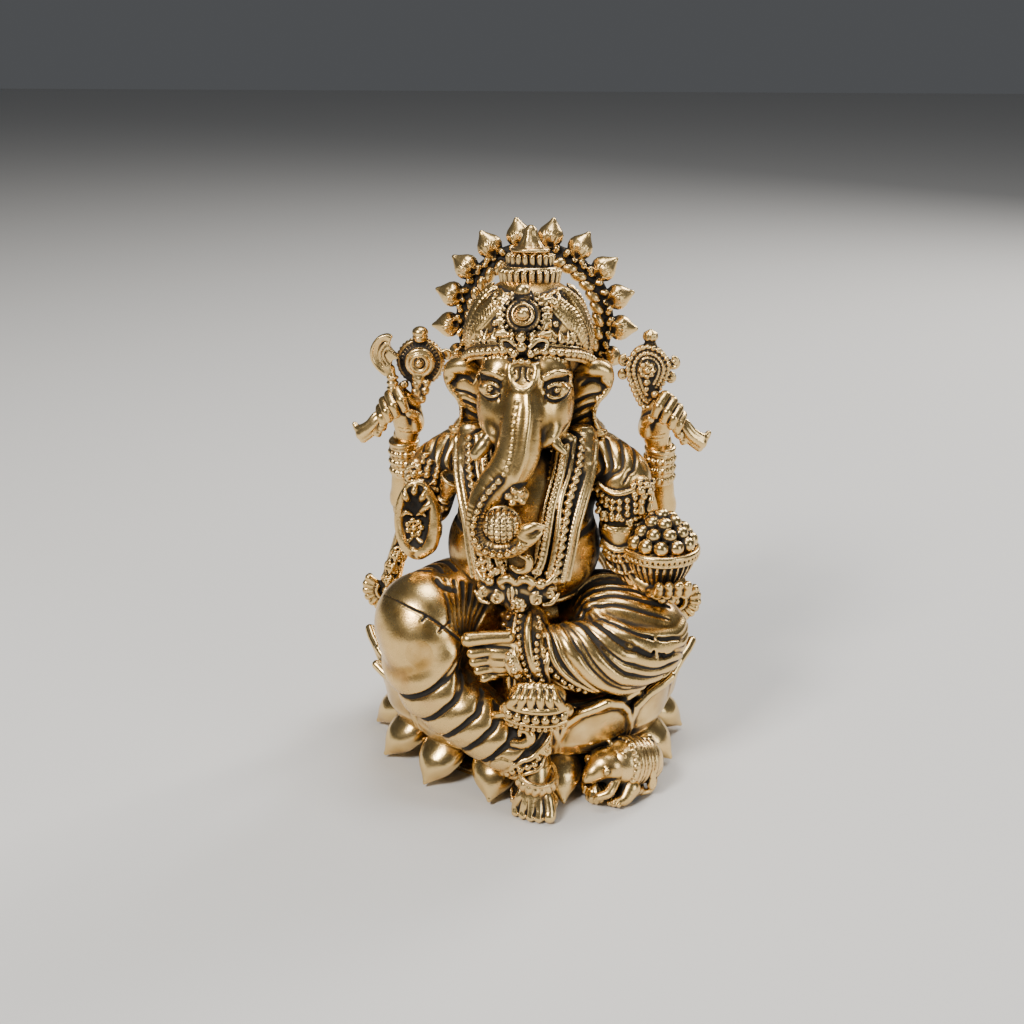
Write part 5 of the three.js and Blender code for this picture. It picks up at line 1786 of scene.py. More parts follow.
@piece("sweet_bowl", slot="jewel_gold")
def sweet_bowl(clay):
    c = centre("sweets") * (1, 1, 0) + (0, 0, BOWL_RIM)
    clay.turned(
        c, (0, 0, 1),
        [
            (-6.0, 0.8), (-5.6, 1.7), (-4.8, 2.7), (-3.7, 3.6), (-2.4, 4.25), (-1.2, 4.55),
            (-0.2, 4.65), (0.1, 4.2),
        ],
        flutes=30, depth=0.07,
    )
    clay.ring(c + (0, 0, -0.3), (0, 0, 1), 4.65, 0.4, k=0.08)
    clay.ring(c + (0, 0, -1.2), (0, 0, 1), 4.65, 0.26, k=0.06)
    bead_ring(clay, c + (0, 0, -0.78), (0, 0, 1), 4.85, 44, 0.24)
    bead_ring(clay, c + (0, 0, -5.2), (0, 0, 1), 2.3, 16, 0.42)


@piece("sweets", slot="polished_gold", pad=0.9)
def sweets(clay):
    c = centre("sweets") * (1, 1, 0) + (0, 0, BOWL_RIM)
    clay.turned(c, (0, 0, 1), [(0.2, 3.6), (1.2, 3.2), (2.2, 2.2), (3.0, 1.0), (3.4, 0.3)])
    layers = ((12, 3.75, 0.85, 0.0), (9, 2.75, 2.1, 0.5), (6, 1.6, 3.2, 0.2), (1, 0.0, 3.9, 0.0))
    for count, radius, z, start in layers:
        for u, v in wheel(count, radius, start):
            clay.ball(c + (v, -u, z), 0.98)


@piece("blessing_palm", slot="antique_gold", pad=1.3)
def blessing_palm(clay):
    """A raised palm inside a pointed oval plaque, with a rosette and leaves in the middle."""
    tilt = turn((1, 0, 0), 6)
    c = vec(-13.7, -8.8, 34.0)

    def at(u, v, out=0.0):
        return c + tilt.T @ vec(u, -out, v)

    oval = [(2.65 * v, -4.9 * u) for u, v in wheel(28) + wheel(28)[:1]]
    clay.ball(c, (2.75, 1.3, 5.0), rot=tilt)
    clay.ball(at(0, -3.0, 0.2), (2.3, 1.3, 1.9), k=0.6, rot=tilt)
    clay.ball(at(-0.25, 0.4, 1.5), (2.15, 1.7, 4.2), k=0.1, rot=tilt, cut=True)
    clay.tube([at(u, v, 0.45) for u, v in oval], 0.34, k=0.1)
    clay.tube([at(0.86 * u - 0.15, 0.88 * v, 0.3) for u, v in oval], 0.14, k=0.05)
    # the heel of the hand on one side, and a row of curled fingers on the other and on top
    clay.tube(
        [
            at(u, v, 0.8)
            for u, v in ((1.2, 3.9), (2.2, 2.0), (2.35, -0.8), (1.8, -3.2), (0.4, -4.4))
        ],
        [0.4, 0.62, 0.8, 0.85, 0.6], k=0.35,
    )
    for u, v, u2, v2 in (
        (1.9, 2.6, 0.6, 1.3), (1.1, 3.7, 0.5, 2.7), (-0.2, 4.4, -0.3, 3.5), (-1.5, 3.6, -1.1, 2.7),
    ):
        clay.tube(
            [at(u, v, 0.9), at((u + u2) / 2, (v + v2) / 2, 1.1), at(u2, v2, 0.6)],
            [0.42, 0.44, 0.36], k=0.06,
        )
    # a rosette with a leaf to each side stands in for the sign on the original
    for u, v in wheel(7, 0.95):
        clay.ball(at(-0.4 + u, -1.0 + v, 0.25), (0.44, 0.42, 0.44), 0.03)
    clay.ball(at(-0.4, -1.0, 0.4), 0.5, 0.03)
    for side in (-1, 1):
        clay.tube(
            [
                at(-0.4 + 0.3 * side, -2.4, 0.3), at(-0.4 + 1.0 * side, -2.9, 0.5),
                at(-0.4 + 1.7 * side, -2.4, 0.45),
            ],
            [0.2, 0.42, 0.12], k=0.05,
        )
        clay.tube(
            [
                at(-0.4 + 0.3 * side, 0.6, 0.1), at(-0.4 + 1.0 * side, 1.0, 0.3),
                at(-0.4 + 1.5 * side, 0.5, 0.4),
            ],
            [0.16, 0.34, 0.12], k=0.05,
        )
    # the wrist behind the plaque
    clay.tube([(-13.0, -4.6, 31.4), (-13.6, -7.8, 31.2)], [1.9, 1.6], k=0.5)
    clay.ring((-13.2, -5.6, 31.4), (-0.1, -1, 0), 1.95, 0.28, k=0.08)
    bead_ring(clay, (-13.3, -6.2, 31.35), (-0.1, -1, 0), 1.95, 16, 0.32)


@piece("hand_drum", slot="jewel_gold", pad=1.2)
def hand_drum(clay):
    """A small flared cup on a slim stem, held beside the palm."""
    c = centre("hand_drum")
    axis = unit((0.38, -0.19, 0.9))
    clay.turned(
        c, axis,
        [
            (-2.6, 0.5), (-2.0, 0.75), (-1.2, 0.6), (-0.4, 0.75), (0.6, 1.05), (1.4, 1.35),
            (2.1, 1.6), (2.3, 1.6),
        ],
    )
    clay.ball(c + 2.9 * axis, (1.3, 1.3, 0.9), k=0.1, cut=True)
    clay.ring(c + 2.2 * axis, axis, 1.5, 0.2, k=0.06)
    clay.ring(c - 1.2 * axis, axis, 0.72, 0.24, k=0.06)
    bead_ring(clay, c - 2.1 * axis, axis, 0.8, 8, 0.34)
    clay.ball(c - 2.8 * axis, 0.6, 0.15)


# ---------------------------------------------------------------- rear arms


@side_pieces("{}_rear_upper_arm", slot="antique_gold", voxel=PLAIN)
def rear_upper_arm(clay, side, name):
    clay.tube(
        mirror([(10.6, 1.8, 38.4), (14.4, 3.2, 35.2), (17.3, 4.0, 31.0)], side), [2.4, 2.3, 1.9],
    )
    middle, way = vec(side * 13.4, 2.8, 36.3), (0.75 * side, 0.3, -0.7)
    bead_ring(clay, middle, way, 2.45, 20, 0.38)
    for shift in (-0.6, 0.6):
        clay.ring(middle + shift * unit(way), way, 2.4, 0.26, k=0.08)


@side_pieces("{}_rear_forearm", slot="antique_gold", voxel=PLAIN)
def rear_forearm(clay, side, name):
    clay.tube(
        mirror([(17.5, 3.8, 32.2), (17.3, 3.3, 35.0), (17.0, 2.4, 41.8)], side), [1.9, 1.8, 1.5],
    )
    clay.ball(mirror([(17.5, 3.9, 32.6)], side)[0], (1.9, 1.9, 2.0), k=0.5)


@side_pieces("{}_rear_bangles", slot="jewel_gold")
def rear_bangles(clay, side, name):
    c = centre(name)
    up = unit((0, -0.12, 1))
    clay.turned(c, up, [(-2.5, 1.55), (2.5, 1.5)])
    for height in (-1.9, -0.55, 0.8):
        bead_ring(clay, c + height * up, up, 1.75, 15, 0.5)
    for height in (-2.5, -1.22, 0.12, 1.5):
        clay.ring(c + height * up, up, 1.75, 0.24, k=0.05)
    clay.ring(c + 2.1 * up, up, 1.7, 0.4, k=0.05)


@side_pieces("{}_rear_hand", slot="antique_gold", pad=2.2)
def rear_hand(clay, side, name):
    """A hand closed round a slanting shaft, its four fingers curling over it to the front."""
    clay.tube(
        mirror([(16.6, 1.5, 41.6), (16.3, 1.1, 43.8), (16.5, 0.6, 45.8), (17.3, 0.4, 47.4)], side),
        [1.4, 1.9, 2.2, 1.7], flat=(0, 1, 0), thin=0.66,
    )
    fingers = (
        ((16.8, 0.2, 48.0), (17.3, -0.9, 48.9), (16.5, -2.3, 47.9), (16.1, -2.3, 46.8)),
        ((17.6, 0.2, 47.6), (18.3, -0.9, 48.2), (17.6, -2.4, 47.2), (17.2, -2.4, 46.1)),
        ((18.2, 0.2, 46.9), (19.1, -0.8, 47.3), (18.5, -2.4, 46.4), (18.2, -2.4, 45.4)),
        ((18.5, 0.4, 46.0), (19.6, -0.5, 46.3), (19.2, -2.2, 45.6), (18.9, -2.2, 44.8)),
    )
    for i, finger in enumerate(fingers):
        clay.tube(mirror(finger, side), [0.66, 0.7 - 0.03 * i, 0.66 - 0.03 * i, 0.58], k=0.05)
        for joint in (1, 2):
            clay.ball(mirror([finger[joint]], side)[0], 0.73 - 0.03 * i, 0.08)
    clay.tube(
        mirror([(15.2, 0.6, 44.2), (14.9, -0.9, 45.4), (15.5, -1.9, 46.1)], side),
        [0.8, 0.72, 0.58], k=0.2,
    )
    for dz in (0.0, 0.6):
        clay.engrave(
            mirror(
                [(14.9, -0.4, 43.4 - dz), (16.2, -1.0, 43.0 - dz), (17.6, -0.2, 43.4 - dz)], side,
            ),
            0.1, k=0.15,
        )
    clay.ball(mirror([(14.9, 0.4, 44.2)], side)[0], (0.9, 1.0, 1.4), k=0.5)


@side_pieces("{}_shaft_end", slot="jewel_gold", pad=1.0)
def shaft_end(clay, side, name):
    """The ridged lower end of what the hand holds, bent and flared like a plough handle."""
    x, y, z = 16.9, 1.0, 45.0

    def at(dx, dy, dz):
        return vec(side * (x + dx), y + dy, z + dz)

    for u, v, r in ((0.0, 0.0, 0.62), (0.3, 0.55, 0.42), (-0.3, -0.55, 0.42)):
        clay.tube(
            [
                at(1.6 + u, -1.6, 0.6 + v), at(2.9 + u, -2.2, 0.0 + v), at(3.9 + u, -2.3, -1.2 + v),
                at(5.2 + u * 0.6, -1.9, -2.2 + 1.2 * v),
            ],
            [r, 1.05 * r, 1.15 * r, 1.35 * r], k=0.1,
        )
    clay.tube(
        [at(4.8, -1.8, -1.6), at(5.7, -1.6, -1.6), at(6.2, -1.5, -1.0)], [0.7, 0.55, 0.35], k=0.3,
    )
    clay.ball(at(2.4, -2.3, -1.0), 0.68, 0.1)
    clay.ball(at(3.1, -2.3, -1.9), 0.5, 0.1)
    clay.tube([at(2.2, -2.2, 0.4), at(2.9, -2.3, -2.1)], 0.4, k=0.1)


@piece("axe", slot="jewel_gold", pad=1.0)
def axe(clay):
    """A crescent blade with a small spike behind it, on a short handle."""
    c = centre("axe")
    outline = flat_curve(
        [
            (1.1, 3.6), (0.4, 3.9), (-0.8, 3.4), (-1.6, 2.1), (-1.6, 0.7), (-0.9, -0.6),
            (0.2, -1.5), (1.0, -1.1),
            (1.0, -0.1), (1.3, 0.6), (2.1, 1.0), (1.4, 1.6), (0.9, 2.4),
        ],
        70,
    )
    x, y, z = clay.axes(clay.whole())
    edge = inside_outline(x - c[0] + 0 * y, z - c[2] + 0 * y, outline)
    thick = 0.4 + 0.1 * np.clip(x - c[0] + 1.6, 0, 3)
    clay.blend(clay.whole(), np.maximum(np.abs(y - c[1]) - thick, edge).astype(np.float32), 0)
    rim = [(1.0, 3.5), (0.4, 3.7), (-0.7, 3.2), (-1.4, 2.0), (-1.4, 0.7), (-0.8, -0.4), (0.1, -1.2)]
    for front in (-1, 1):
        clay.tube([c + (a, 0.4 * front, b) for a, b in rim], 0.24, k=0.08)
        for shift in (0.75, 1.25, 1.75):
            line = [
                c + (a + shift, 0.8 * front, 1.1 + (b - 1.1) * (1 - 0.22 * shift))
                for a, b in rim[1:-1]
            ]
            clay.engrave(clay.land(line, way=(0, -front, 0), back=1.5), 0.11, k=0.05, snap=False)
    clay.tube(
        [c + (0.9, 0, -0.6), c + (1.1, -0.3, -2.2), c + (1.4, -0.6, -4.2)], [0.55, 0.62, 0.62],
        k=0.2,
    )
    for dz in (-1.7, -2.4, -3.1):
        clay.ring(c + (1.15, -0.3, dz), (0, 0, 1), 0.62, 0.2, k=0.06)
    clay.ball(c + (2.3, 0.3, -2.9), 0.5, 0.1)


@piece("ring_boss", slot="jewel_gold", pad=1.3)
def ring_boss(clay):
    """A wheel of stepped rings on a short stem, with a bead on top and a curl at its side."""
    c = vec(-14.4, 0.6, 52.3)
    clay.turned(
        c + (0, 1.1, 0), (0, -1, 0),
        [
            (-0.4, 2.5), (0.0, 2.9), (0.9, 2.9), (1.15, 2.4), (1.6, 2.0), (1.65, 1.5), (1.95, 1.4),
            (2.0, 0.7),
        ],
    )
    clay.ring(c + (0, 0.0, 0), (0, 1, 0), 2.75, 0.28, k=0.05)
    for u, v in wheel(32):  # the notched ring
        way = vec(u, 0, v)
        clay.tube([c + 2.1 * way + (0, -0.25, 0), c + 2.5 * way + (0, -0.1, 0)], 0.2, k=0.03)
        clay.ball(c + 2.95 * way + (0, 0.4, 0), 0.3, 0.05)
    clay.ring(c + (0, -0.5, 0), (0, 1, 0), 1.65, 0.28, k=0.03)
    clay.ring(c + (0, -0.8, 0), (0, 1, 0), 1.05, 0.28, k=0.03)
    clay.ball(c + (0, -1.0, 0), 0.55, 0.03)
    clay.ball(c + (0.1, 0, 3.0), (0.9, 0.9, 0.5), 0.1)
    clay.ball(c + (0.1, 0, 3.9), (1.05, 1.05, 0.8), 0.1)
    clay.ring(c + (0.1, 0, 3.3), (0, 0, 1), 0.85, 0.2, k=0.05)
    scroll(clay, c + (3.4, 0.3, 0.9), 0.7, 1.1, 180, -1, 0.3)
    clay.tube([c + (2.6, 0.5, 1.2), c + (3.1, 0.3, 1.3)], 0.4, k=0.1)
    for dx, dz, r in (
        (-2.0, -2.9, 0.55), (-0.5, -2.9, 0.6), (0.9, -2.7, 0.6), (-0.6, -3.9, 0.6),
        (0.7, -3.7, 0.6), (0.3, -4.9, 0.5), (0.0, -2.2, 0.55),
    ):
        clay.ball(c + (dx, -0.5, dz), r, 0.08)
    clay.tube([c + (-0.2, 0.3, -2.2), c + (-0.2, 0.1, -4.8)], [1.2, 0.9], k=0.3)


@piece("conch", slot="jewel_gold", pad=1.3)
def conch(clay):
    """A drop-shaped conch with a beaded edge, a flower on its face and curls at its sides."""
    middle = vec(15.1, 1.1, 51.6)
    outline = flat_curve(
        [
            (-0.2, 3.4), (1.5, 2.8), (2.6, 1.2), (2.2, -0.7), (1.2, -2.6), (0.3, -4.6),
            (-0.7, -4.4), (-2.0, -2.0), (-2.7, 0.6), (-1.9, 2.7),
        ],
        70,
    )
    x, y, z = clay.axes(clay.whole())
    edge = inside_outline(x - middle[0] + 0 * y, z - middle[2] + 0 * y, outline)
    bulge = 1.0 + 0.6 * np.clip(-edge / 2.4, 0, 1) ** 0.6
    clay.blend(clay.whole(), np.maximum(np.abs(y - middle[1]) - bulge, edge).astype(np.float32), 0)
    for inset, r, step in ((0.1, 0.36, 0.74), (1.0, 0.26, 0.54), (1.8, 0.16, 0.36)):
        ring = [
            middle + (u * (1 - 0.28 * inset), -1.1 - 0.25 * inset, v * (1 - 0.22 * inset))
            for u, v in outline
        ]
        clay.beads(clay.land(np.array(ring + ring[:1]), back=1.5, lift=0.05), r, step, snap=False)
    clay.ball(middle + (-0.2, -1.7, 0.5), 0.5, 0.03)
    for u, v in wheel(8, 0.85):
        clay.ball(middle + (-0.2 + u, -1.6, 0.5 + v), 0.33, 0.03)
    for dz, r in ((-1.2, 0.42), (-2.1, 0.36), (-2.9, 0.3)):
        clay.ball(middle + (-0.2, -1.6 + 0.15 * abs(dz), dz), r, 0.05)
    clay.turned(
        vec(15.2, 1.0, 56.0), (0, 0, 1),
        [(-1.6, 0.6), (-1.1, 1.0), (-0.5, 0.7), (0.0, 1.05), (0.6, 0.95), (1.1, 0.15)], k=0.1,
        flutes=9, depth=0.15,
    )
    # the curls touch the conch's edge
    for x, z, size, way in (
        (18.2, 52.8, 0.8, -1), (17.9, 50.9, 0.65, -1), (12.0, 53.0, 0.7, 1), (11.9, 51.2, 0.6, 1),
    ):
        clay.tube([(x + 0.9 * way, 0.9, z + 0.2), (x, 0.8, z + 0.1)], 0.4, k=0.15)
        scroll(clay, vec(x, 0.6, z), size, 1.15, 90, way, 0.27)
    clay.tube([middle + (-0.2, 0.1, -3.6), middle + (0.4, 0.0, -5.0)], [1.0, 0.9], k=0.3)
    clay.ball(vec(16.0, -0.6, 49.0), 0.5, 0.1)


# ---------------------------------------------------------------- hanging sash ends


@side_pieces("{}_sash_end", slot="antique_gold", pad=1.6)
def sash_end(clay, side, name):
    """A pleated strap with rosettes where it is gathered, opening into a scalloped fan."""
    strap = mirror([(17.0, 3.0, 29.6), (18.2, 2.6, 25.4), (19.2, 2.0, 21.6)], side)
    clay.tube(strap, [1.15, 1.2, 1.35], flat=(0, 1, 0), thin=0.65)
    for shift in (-0.7, 0.0, 0.7):
        clay.tube(
            np.array(strap) + (shift, -0.6 - 0.1 * (shift == 0), 0), [0.32, 0.38, 0.42], k=0.08,
        )
    for x, z in ((18.1, 25.0), (18.9, 23.2), (19.4, 21.3)):
        bead_ring(clay, (side * x, 0.8, z), (0, 1, 0), 0.62, 6, 0.38)
        clay.ball((side * x, 0.5, z), 0.42, 0.04)
        clay.ring((side * x, 1.3, z), (0, 1, 0), 1.05, 0.24, k=0.08)
    knot = vec(side * 19.9, 1.9, 19.8)
    clay.ball(knot, (1.5, 1.1, 1.4), k=0.3)
    rim = []
    for i in range(9):
        a = math.radians(-70 + 19 * i)
        way = vec(side * math.sin(a + 0.7), 0, -math.cos(a + 0.7))
        tip = knot + 2.9 * way + (0, -0.4, 0)
        rim.append(tip)
        clay.tube(
            [knot + 0.8 * way, knot + 1.9 * way + (0, -0.5, 0), tip], [0.36, 0.5, 0.55], k=0.08,
        )
        clay.ball(tip, 0.58, 0.06)
        clay.ball(knot + 1.3 * way + (0, -1.1, 0), 0.32, 0.05)
    clay.ball(knot + (0, -1.0, 0), 0.6, 0.06)
    clay.tube(np.array(rim) + (0, 0.5, 0), 0.5, k=0.1)


# ---------------------------------------------------------------- mouse


@piece("mouse", slot="antique_gold", pad=1.6)
def mouse(clay):
    """A plump mouse that looks up at the figure and holds a sweet in its paws."""
    yaw = turn((0, 0, 1), 38)
    clay.tube([(16.4, -14.4, 3.2), (14.2, -15.8, 4.2), (12.2, -17.2, 4.4)], [2.2, 2.9, 2.5], k=0.5)
    clay.ball((11.2, -17.9, 5.0), (2.6, 2.1, 2.1), k=0.6, rot=yaw)
    clay.tube([(10.6, -18.4, 4.9), (9.6, -19.2, 4.3), (8.9, -19.8, 3.8)], [1.75, 1.25, 0.62], k=0.6)
    clay.ball((8.7, -20.0, 3.9), 0.42, 0.08)
    for x, y, z in ((11.4, -16.4, 6.9), (13.2, -18.3, 6.3)):
        clay.ball((x, y, z), (0.85, 0.5, 0.95), k=0.2, rot=yaw)
        clay.ball((x - 0.25, y - 0.35, z), (0.5, 0.35, 0.55), k=0.1, rot=yaw, cut=True)
    for x, y, z in ((9.4, -18.2, 5.5), (11.2, -19.9, 5.2)):
        eyeball = clay.snap(np.array([(x, y, z)]), 0.0)[0]
        clay.ball(eyeball, 0.32, 0.03)
        clay.ring(eyeball, (-0.5, -0.8, 0.2), 0.46, 0.12, k=0.05)
    clay.engrave([(8.9, -20.3, 3.3), (9.7, -19.9, 3.2), (10.8, -19.7, 3.7)], 0.14, k=0.08)
    # the fur of the flanks, combed back from the cheeks
    for i in range(7):
        start = vec(12.2 + 0.55 * i, -19.4 + 0.35 * i, 4.4 - 0.1 * i)
        clay.engrave(
            [start, start + (0.4, -0.3, -1.0), start + (1.0, -0.1, -1.9)], tapered(0.12, 0.05),
            k=0.1,
        )
    # front paws hold the sweet between them
    clay.tube(
        [(12.4, -19.0, 3.4), (11.7, -20.6, 2.5), (10.5, -20.9, 2.0)], [0.85, 0.68, 0.55], k=0.3,
    )
    clay.tube([(10.0, -16.9, 3.0), (8.7, -17.8, 2.2), (8.6, -18.8, 1.9)], [0.8, 0.62, 0.5], k=0.3)
    for shift in (-0.35, 0.0, 0.35):
        clay.ball((10.1 + shift * 0.4, -21.0 + 0.2 * abs(shift), 1.9 + shift), 0.28, 0.05)
        clay.ball((8.6 + shift * 0.3, -19.2, 1.9 + shift), 0.26, 0.05)
    clay.tube(
        [(14.4, -18.4, 2.0), (13.6, -19.6, 1.0), (12.4, -20.0, 0.75)], [1.3, 0.85, 0.65], k=0.4,
    )
    clay.tube([(12.4, -14.4, 1.8), (11.2, -15.6, 0.9), (10.4, -16.2, 0.7)], [1.0, 0.7, 0.55], k=0.4)
    clay.tube(
        [(16.6, -13.0, 2.2), (17.4, -14.6, 1.2), (17.0, -16.4, 0.7), (15.8, -17.4, 0.6)],
        [0.6, 0.5, 0.42, 0.3], k=0.2,
    )
    clay.ball((13.4, -16.4, 1.2), (3.0, 2.4, 1.2), k=0.4, rot=yaw)
    for shift in (-0.6, 0.0, 0.6):
        clay.ball((12.4 + shift, -20.5 - 0.3 * shift, 0.75), 0.34, 0.08)
    clay.cut_below(box("mouse")[0][2])


@piece("mouse_saddle", slot="jewel_gold", pad=1.4)
def mouse_saddle(clay):
    """A ribbed cloth over the mouse's back, with a beaded hem and a tassel."""
    ends = vec(13.4, -16.5, 4.6), vec(15.8, -14.6, 4.0)
    way = unit(ends[1] - ends[0])
    clay.tube([ends[0], ends[1]], [3.05, 2.75], k=0)
    for i in range(6):
        share = i / 5
        middle = ends[0] * (1 - share) + ends[1] * share
        clay.ring(middle, way, 3.05 - 0.3 * share, 0.34 if i % 2 else 0.26, k=0.12)
    bead_ring(clay, ends[0] - 0.35 * way, way, 3.0, 26, 0.34)
    clay.tube(
        [(15.4, -14.6, 6.4), (16.4, -13.8, 6.6), (17.2, -13.4, 5.6)], [0.62, 0.7, 0.45], k=0.2,
    )
    clay.tube([(17.0, -17.0, 3.4), (17.1, -17.0, 1.8)], [0.5, 0.65], k=0.2)
    clay.cut_below(0.2)


@piece("mouse_sweet", slot="polished_gold")
def mouse_sweet(clay):
    c = centre("mouse_sweet")
    clay.turned(
        c, (0, 0, 1),
        [(-1.35, 0.9), (-0.9, 1.35), (-0.2, 1.45), (0.6, 1.1), (1.1, 0.5), (1.5, 0.1)], flutes=9,
        depth=0.12,
    )


# ---------------------------------------------------------------- metal


def math_node(tree, operation, a, b, clamp=False):
    """A sum, product or the like of two values, each a number or a socket."""
    node = tree.nodes.new("ShaderNodeMath")
    node.operation = operation
    node.use_clamp = clamp
    for socket, value in zip(node.inputs, (a, b)):
        if isinstance(value, (int, float)):
            socket.default_value = value
        else:
            tree.links.new(value, socket)
    return node.outputs[0]


def weighted(tree, *terms, offset=0.0):
    """The sum of (socket, weight) terms and an offset."""
    total = offset
    for socket, weight in terms:
        total = math_node(tree, "ADD", math_node(tree, "MULTIPLY", socket, weight), total)
    return total


def ramp(tree, value, *stops):
    """A colour ramp whose stops are (place, colour or grey)."""
    node = tree.nodes.new("ShaderNodeValToRGB")
    while len(node.color_ramp.elements) < len(stops):
        node.color_ramp.elements.new(0.5)
    for element, (place, colour) in zip(node.color_ramp.elements, stops):
        element.position = place
        element.color = (*colour, 1) if isinstance(colour, tuple) else (colour, colour, colour, 1)
    tree.links.new(value, node.inputs[0])
    return node.outputs[0]


def noise(tree, place, scale, detail, rough, seed=0.0):
    node = tree.nodes.new("ShaderNodeTexNoise")
    node.noise_dimensions = "4D"
    node.inputs["Scale"].default_value = scale
    node.inputs["Detail"].default_value = detail
    node.inputs["Roughness"].default_value = rough
    node.inputs["W"].default_value = seed
    tree.links.new(place, node.inputs["Vector"])
    return node.outputs[0]


def mixed(tree, share, a, b):
    node = tree.nodes.new("ShaderNodeMix")
    node.data_type = "RGBA"
    tree.links.new(share, node.inputs[0])
    for socket, value in ((node.inputs[6], a), (node.inputs[7], b)):
        if isinstance(value, tuple):
            socket.default_value = (*value, 1)
        else:
            tree.links.new(value, socket)
    return node.outputs[2]


COPPER = (0.62, 0.3, 0.14)  # the redder cast of some stretches
# nearly black, both for the real patina in the hollows and for painted shade where the AO node
# finds surfaces close by
PATINA_AND_SHADE = (0.012, 0.009, 0.006)  # nearly black


def antique_brass(name, deep, warm, pale, dirt_and_shade, gloss):
    """Gold-toned brass with black patina left in its hollows and rubbed off its high points, and
    with painted shade: black and a darker tone wherever the AO node finds surfaces close by.

    deep, warm and pale are the metal's colours from its darkest tone to its palest; the tone is
    lower in the hollows, lower again as painted shade, and varies at random. Then comes how far
    the patina and the painted shade climb out of the hollows and gaps, and gloss is the roughness
    of the rubbed metal.
    """
    material = bpy.data.materials.new(name)
    material.use_nodes = True
    tree = material.node_tree
    shader = tree.nodes["Principled BSDF"]
    place = tree.nodes.new("ShaderNodeTexCoord").outputs["Object"]
    hollow = tree.nodes.new("ShaderNodeAttribute")
    hollow.attribute_name = "cavity"
    hollow = hollow.outputs["Fac"]
    # painted shade: the ambient occlusion node finds surfaces that other surfaces close in on
    # within 3.2 mm, and the colour is darkened and blackened there
    shade = tree.nodes.new("ShaderNodeAmbientOcclusion")
    shade.samples = 8
    shade.inputs["Distance"].default_value = 3.2 * MM
    closed = math_node(tree, "SUBTRACT", 1.0, shade.outputs["AO"])
    broad = noise(tree, place, 260, 3, 0.5)
    cloud = noise(tree, place, 900, 5, 0.65, 3.0)
    speck = noise(tree, place, 3800, 3, 0.6, 7.0)
    streak = math_node(tree, "SUBTRACT", cloud, 0.5)
    stain = math_node(tree, "SUBTRACT", broad, 0.5)
    # the patina mask: real patina from the cavity, stains from the noises, and painted shade from
    # the AO term
    raised = weighted(
        tree, (hollow, 1.15), (closed, 1.45), (streak, 0.9), (stain, 0.5), offset=dirt_and_shade
    )
    patina_and_shade = ramp(tree, raised, (0.44, 0.0), (0.64, 0.5), (0.86, 1.0))
    # small pits hold their dirt only where the patina and the painted shade reach, not on the
    # bright open metal
    pits = ramp(tree, speck, (0.6, 0.0), (0.68, 1.0))
    reach = ramp(tree, raised, (0.12, 0.0), (0.5, 1.0))
    pits = math_node(tree, "MULTIPLY", pits, math_node(tree, "MULTIPLY", reach, 0.55))
    patina_and_shade = math_node(tree, "MAXIMUM", patina_and_shade, pits, clamp=True)
    # the metal's tone: darker in the hollows with the patina, darker as painted shade where the AO
    # node finds surfaces close by, and varied at random by the broad noise
    tone = weighted(tree, (hollow, -0.6), (closed, -0.5), (broad, 1.0), offset=0.12)
    metal = ramp(tree, tone, (0.3, deep), (0.52, warm), (0.78, pale))
    copper = ramp(tree, noise(tree, place, 180, 2, 0.5, 11.0), (0.58, 0.0), (0.76, 0.35))
    metal = mixed(tree, copper, metal, COPPER)
    colour = mixed(tree, patina_and_shade, metal, PATINA_AND_SHADE)
    tree.links.new(colour, shader.inputs["Base Color"])
    tree.links.new(
        math_node(tree, "SUBTRACT", 1.0, math_node(tree, "MULTIPLY", patina_and_shade, 0.75)),
        shader.inputs["Metallic"],
    )
    rough = weighted(tree, (patina_and_shade, 0.42), (streak, 0.16), offset=gloss)
    tree.links.new(rough, shader.inputs["Roughness"])
    dents = weighted(tree, (cloud, 0.8), (speck, 0.25))
    bump = tree.nodes.new("ShaderNodeBump")
    bump.inputs["Strength"].default_value = 0.35
    bump.inputs["Distance"].default_value = 0.12 * MM
    tree.links.new(dents, bump.inputs["Height"])
    tree.links.new(bump.outputs[0], shader.inputs["Normal"])
    return material


LOOKS = {
    "antique_gold": ((0.13, 0.075, 0.022), (0.53, 0.31, 0.09), (0.83, 0.56, 0.22), 0.12, 0.27),
    "jewel_gold": ((0.15, 0.085, 0.025), (0.6, 0.36, 0.12), (0.88, 0.61, 0.26), 0.2, 0.27),
    "polished_gold": ((0.2, 0.12, 0.035), (0.6, 0.38, 0.13), (0.86, 0.61, 0.26), 0.05, 0.24),
}
METALS = {name: antique_brass(name, *look) for name, look in LOOKS.items()}


# ---------------------------------------------------------------- making the pieces


def make_mesh(entry, result):
    name, nodes, slot = entry[:3]
    points, quads, shade = result
    mesh = bpy.data.meshes.new(name)
    mesh.vertices.add(len(points))
    mesh.vertices.foreach_set("co", (points * MM).astype(np.float32).ravel())
    mesh.loops.add(quads.size)
    mesh.loops.foreach_set("vertex_index", quads.astype(np.int32).ravel())
    mesh.polygons.add(len(quads))
    mesh.polygons.foreach_set("loop_start", np.arange(0, quads.size, 4, dtype=np.int32))
    mesh.polygons.foreach_set("use_smooth", np.ones(len(quads), bool))
    mesh.update(calc_edges=True)
    mesh.validate()
    mesh.attributes.new("cavity", "FLOAT", "POINT").data.foreach_set(
        "value", shade.astype(np.float32),
    )
    mesh.materials.append(METALS[slot])
    made = bpy.data.objects.new(name + "_sculpt", mesh)
    bpy.context.scene.collection.objects.link(made)
    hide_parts(*nodes)
    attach(made, "root")


with ThreadPoolExecutor(4) as pool:
    for entry, result in zip(PIECES, pool.map(sculpted, PIECES)):
        make_mesh(entry, result)

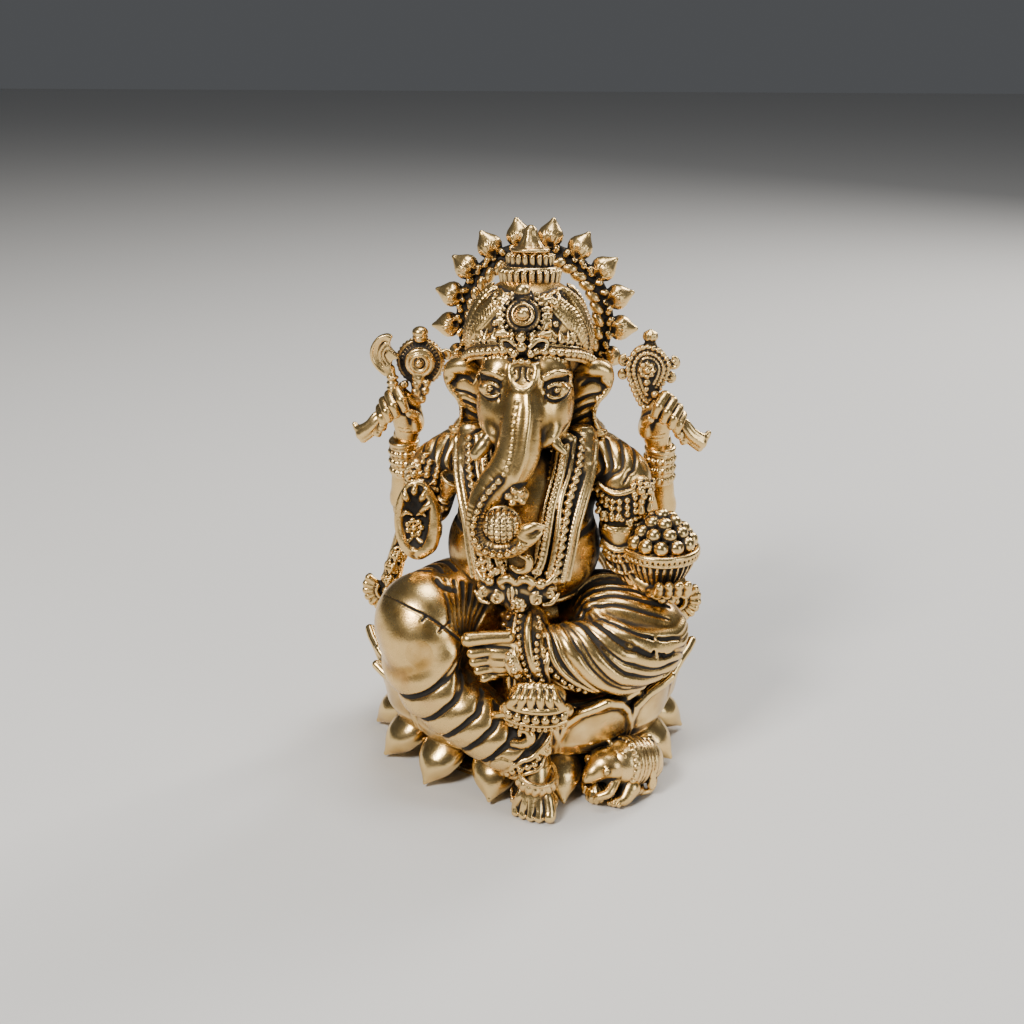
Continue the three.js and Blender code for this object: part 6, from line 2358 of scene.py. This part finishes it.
node_slots = {part["node"]: part["material_slot"] for part in frame["record"]["subparts"]}
for node_name, slot_name in node_slots.items():
    solid = bpy.data.objects.get(node_name)
    if solid is not None and solid.type == "MESH":
        solid.data.materials.clear()
        solid.data.materials.append(METALS[slot_name])


# ---------------------------------------------------------------- floor, light and camera


def plain(name, colour, rough):
    material = bpy.data.materials.new(name)
    material.use_nodes = True
    shader = material.node_tree.nodes["Principled BSDF"]
    shader.inputs["Base Color"].default_value = (*colour, 1)
    shader.inputs["Roughness"].default_value = rough
    return material


bpy.ops.mesh.primitive_plane_add(size=3.0, location=(0, 0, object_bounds()[0][2]))
floor = bpy.context.object
floor.name = "floor"
floor.data.materials.append(plain("pale_floor", (0.72, 0.71, 0.69), 0.75))

world = bpy.data.worlds.new("studio")
bpy.context.scene.world = world
world.use_nodes = True
world.node_tree.nodes["Background"].inputs["Color"].default_value = (0.5, 0.52, 0.55, 1)
world.node_tree.nodes["Background"].inputs["Strength"].default_value = 0.16

TARGET = vec(0.0, -0.004, 0.036)  # metres, the middle of the figure, where the lights aim


def soft_light(name, place, size, power, colour=(1, 1, 1)):
    """A rectangular lamp aimed at the figure. place and size are in metres, power in watts."""
    light = bpy.data.lights.new(name, "AREA")
    light.shape = "RECTANGLE"
    light.size, light.size_y = size
    light.energy = power
    light.color = colour
    lamp = bpy.data.objects.new(name, light)
    aim = basis(vec(*place) - TARGET)
    lamp.matrix_world = Matrix([[*aim[:, i], place[i]] for i in range(3)] + [[0, 0, 0, 1]])
    bpy.context.scene.collection.objects.link(lamp)


soft_light("key", (-0.2, -0.3, 0.36), (0.12, 0.12), 2.3, (1.0, 0.96, 0.9))
soft_light("fill", (0.36, -0.26, 0.16), (0.16, 0.22), 0.5, (0.95, 0.98, 1.0))
soft_light("top", (0.04, 0.04, 0.46), (0.2, 0.2), 1.3)
soft_light("rim", (0.26, 0.32, 0.3), (0.12, 0.2), 1.6, (1.0, 0.97, 0.93))

CAMERA_PLACE = (0.012926, -0.174939, 0.0961)  # metres
CAMERA_ABOVE, CAMERA_LEFT = 20, 5  # degrees above the figure's front, and round to its left
FOCAL_LENGTH = 49.22  # mm

lens = bpy.data.cameras.new("camera")
lens.lens = FOCAL_LENGTH
lens.clip_start = 0.01
camera = bpy.data.objects.new("camera", lens)
camera.location = CAMERA_PLACE
camera.rotation_euler = (math.radians(90 - CAMERA_ABOVE), 0, math.radians(CAMERA_LEFT))
bpy.context.scene.collection.objects.link(camera)
bpy.context.scene.camera = camera
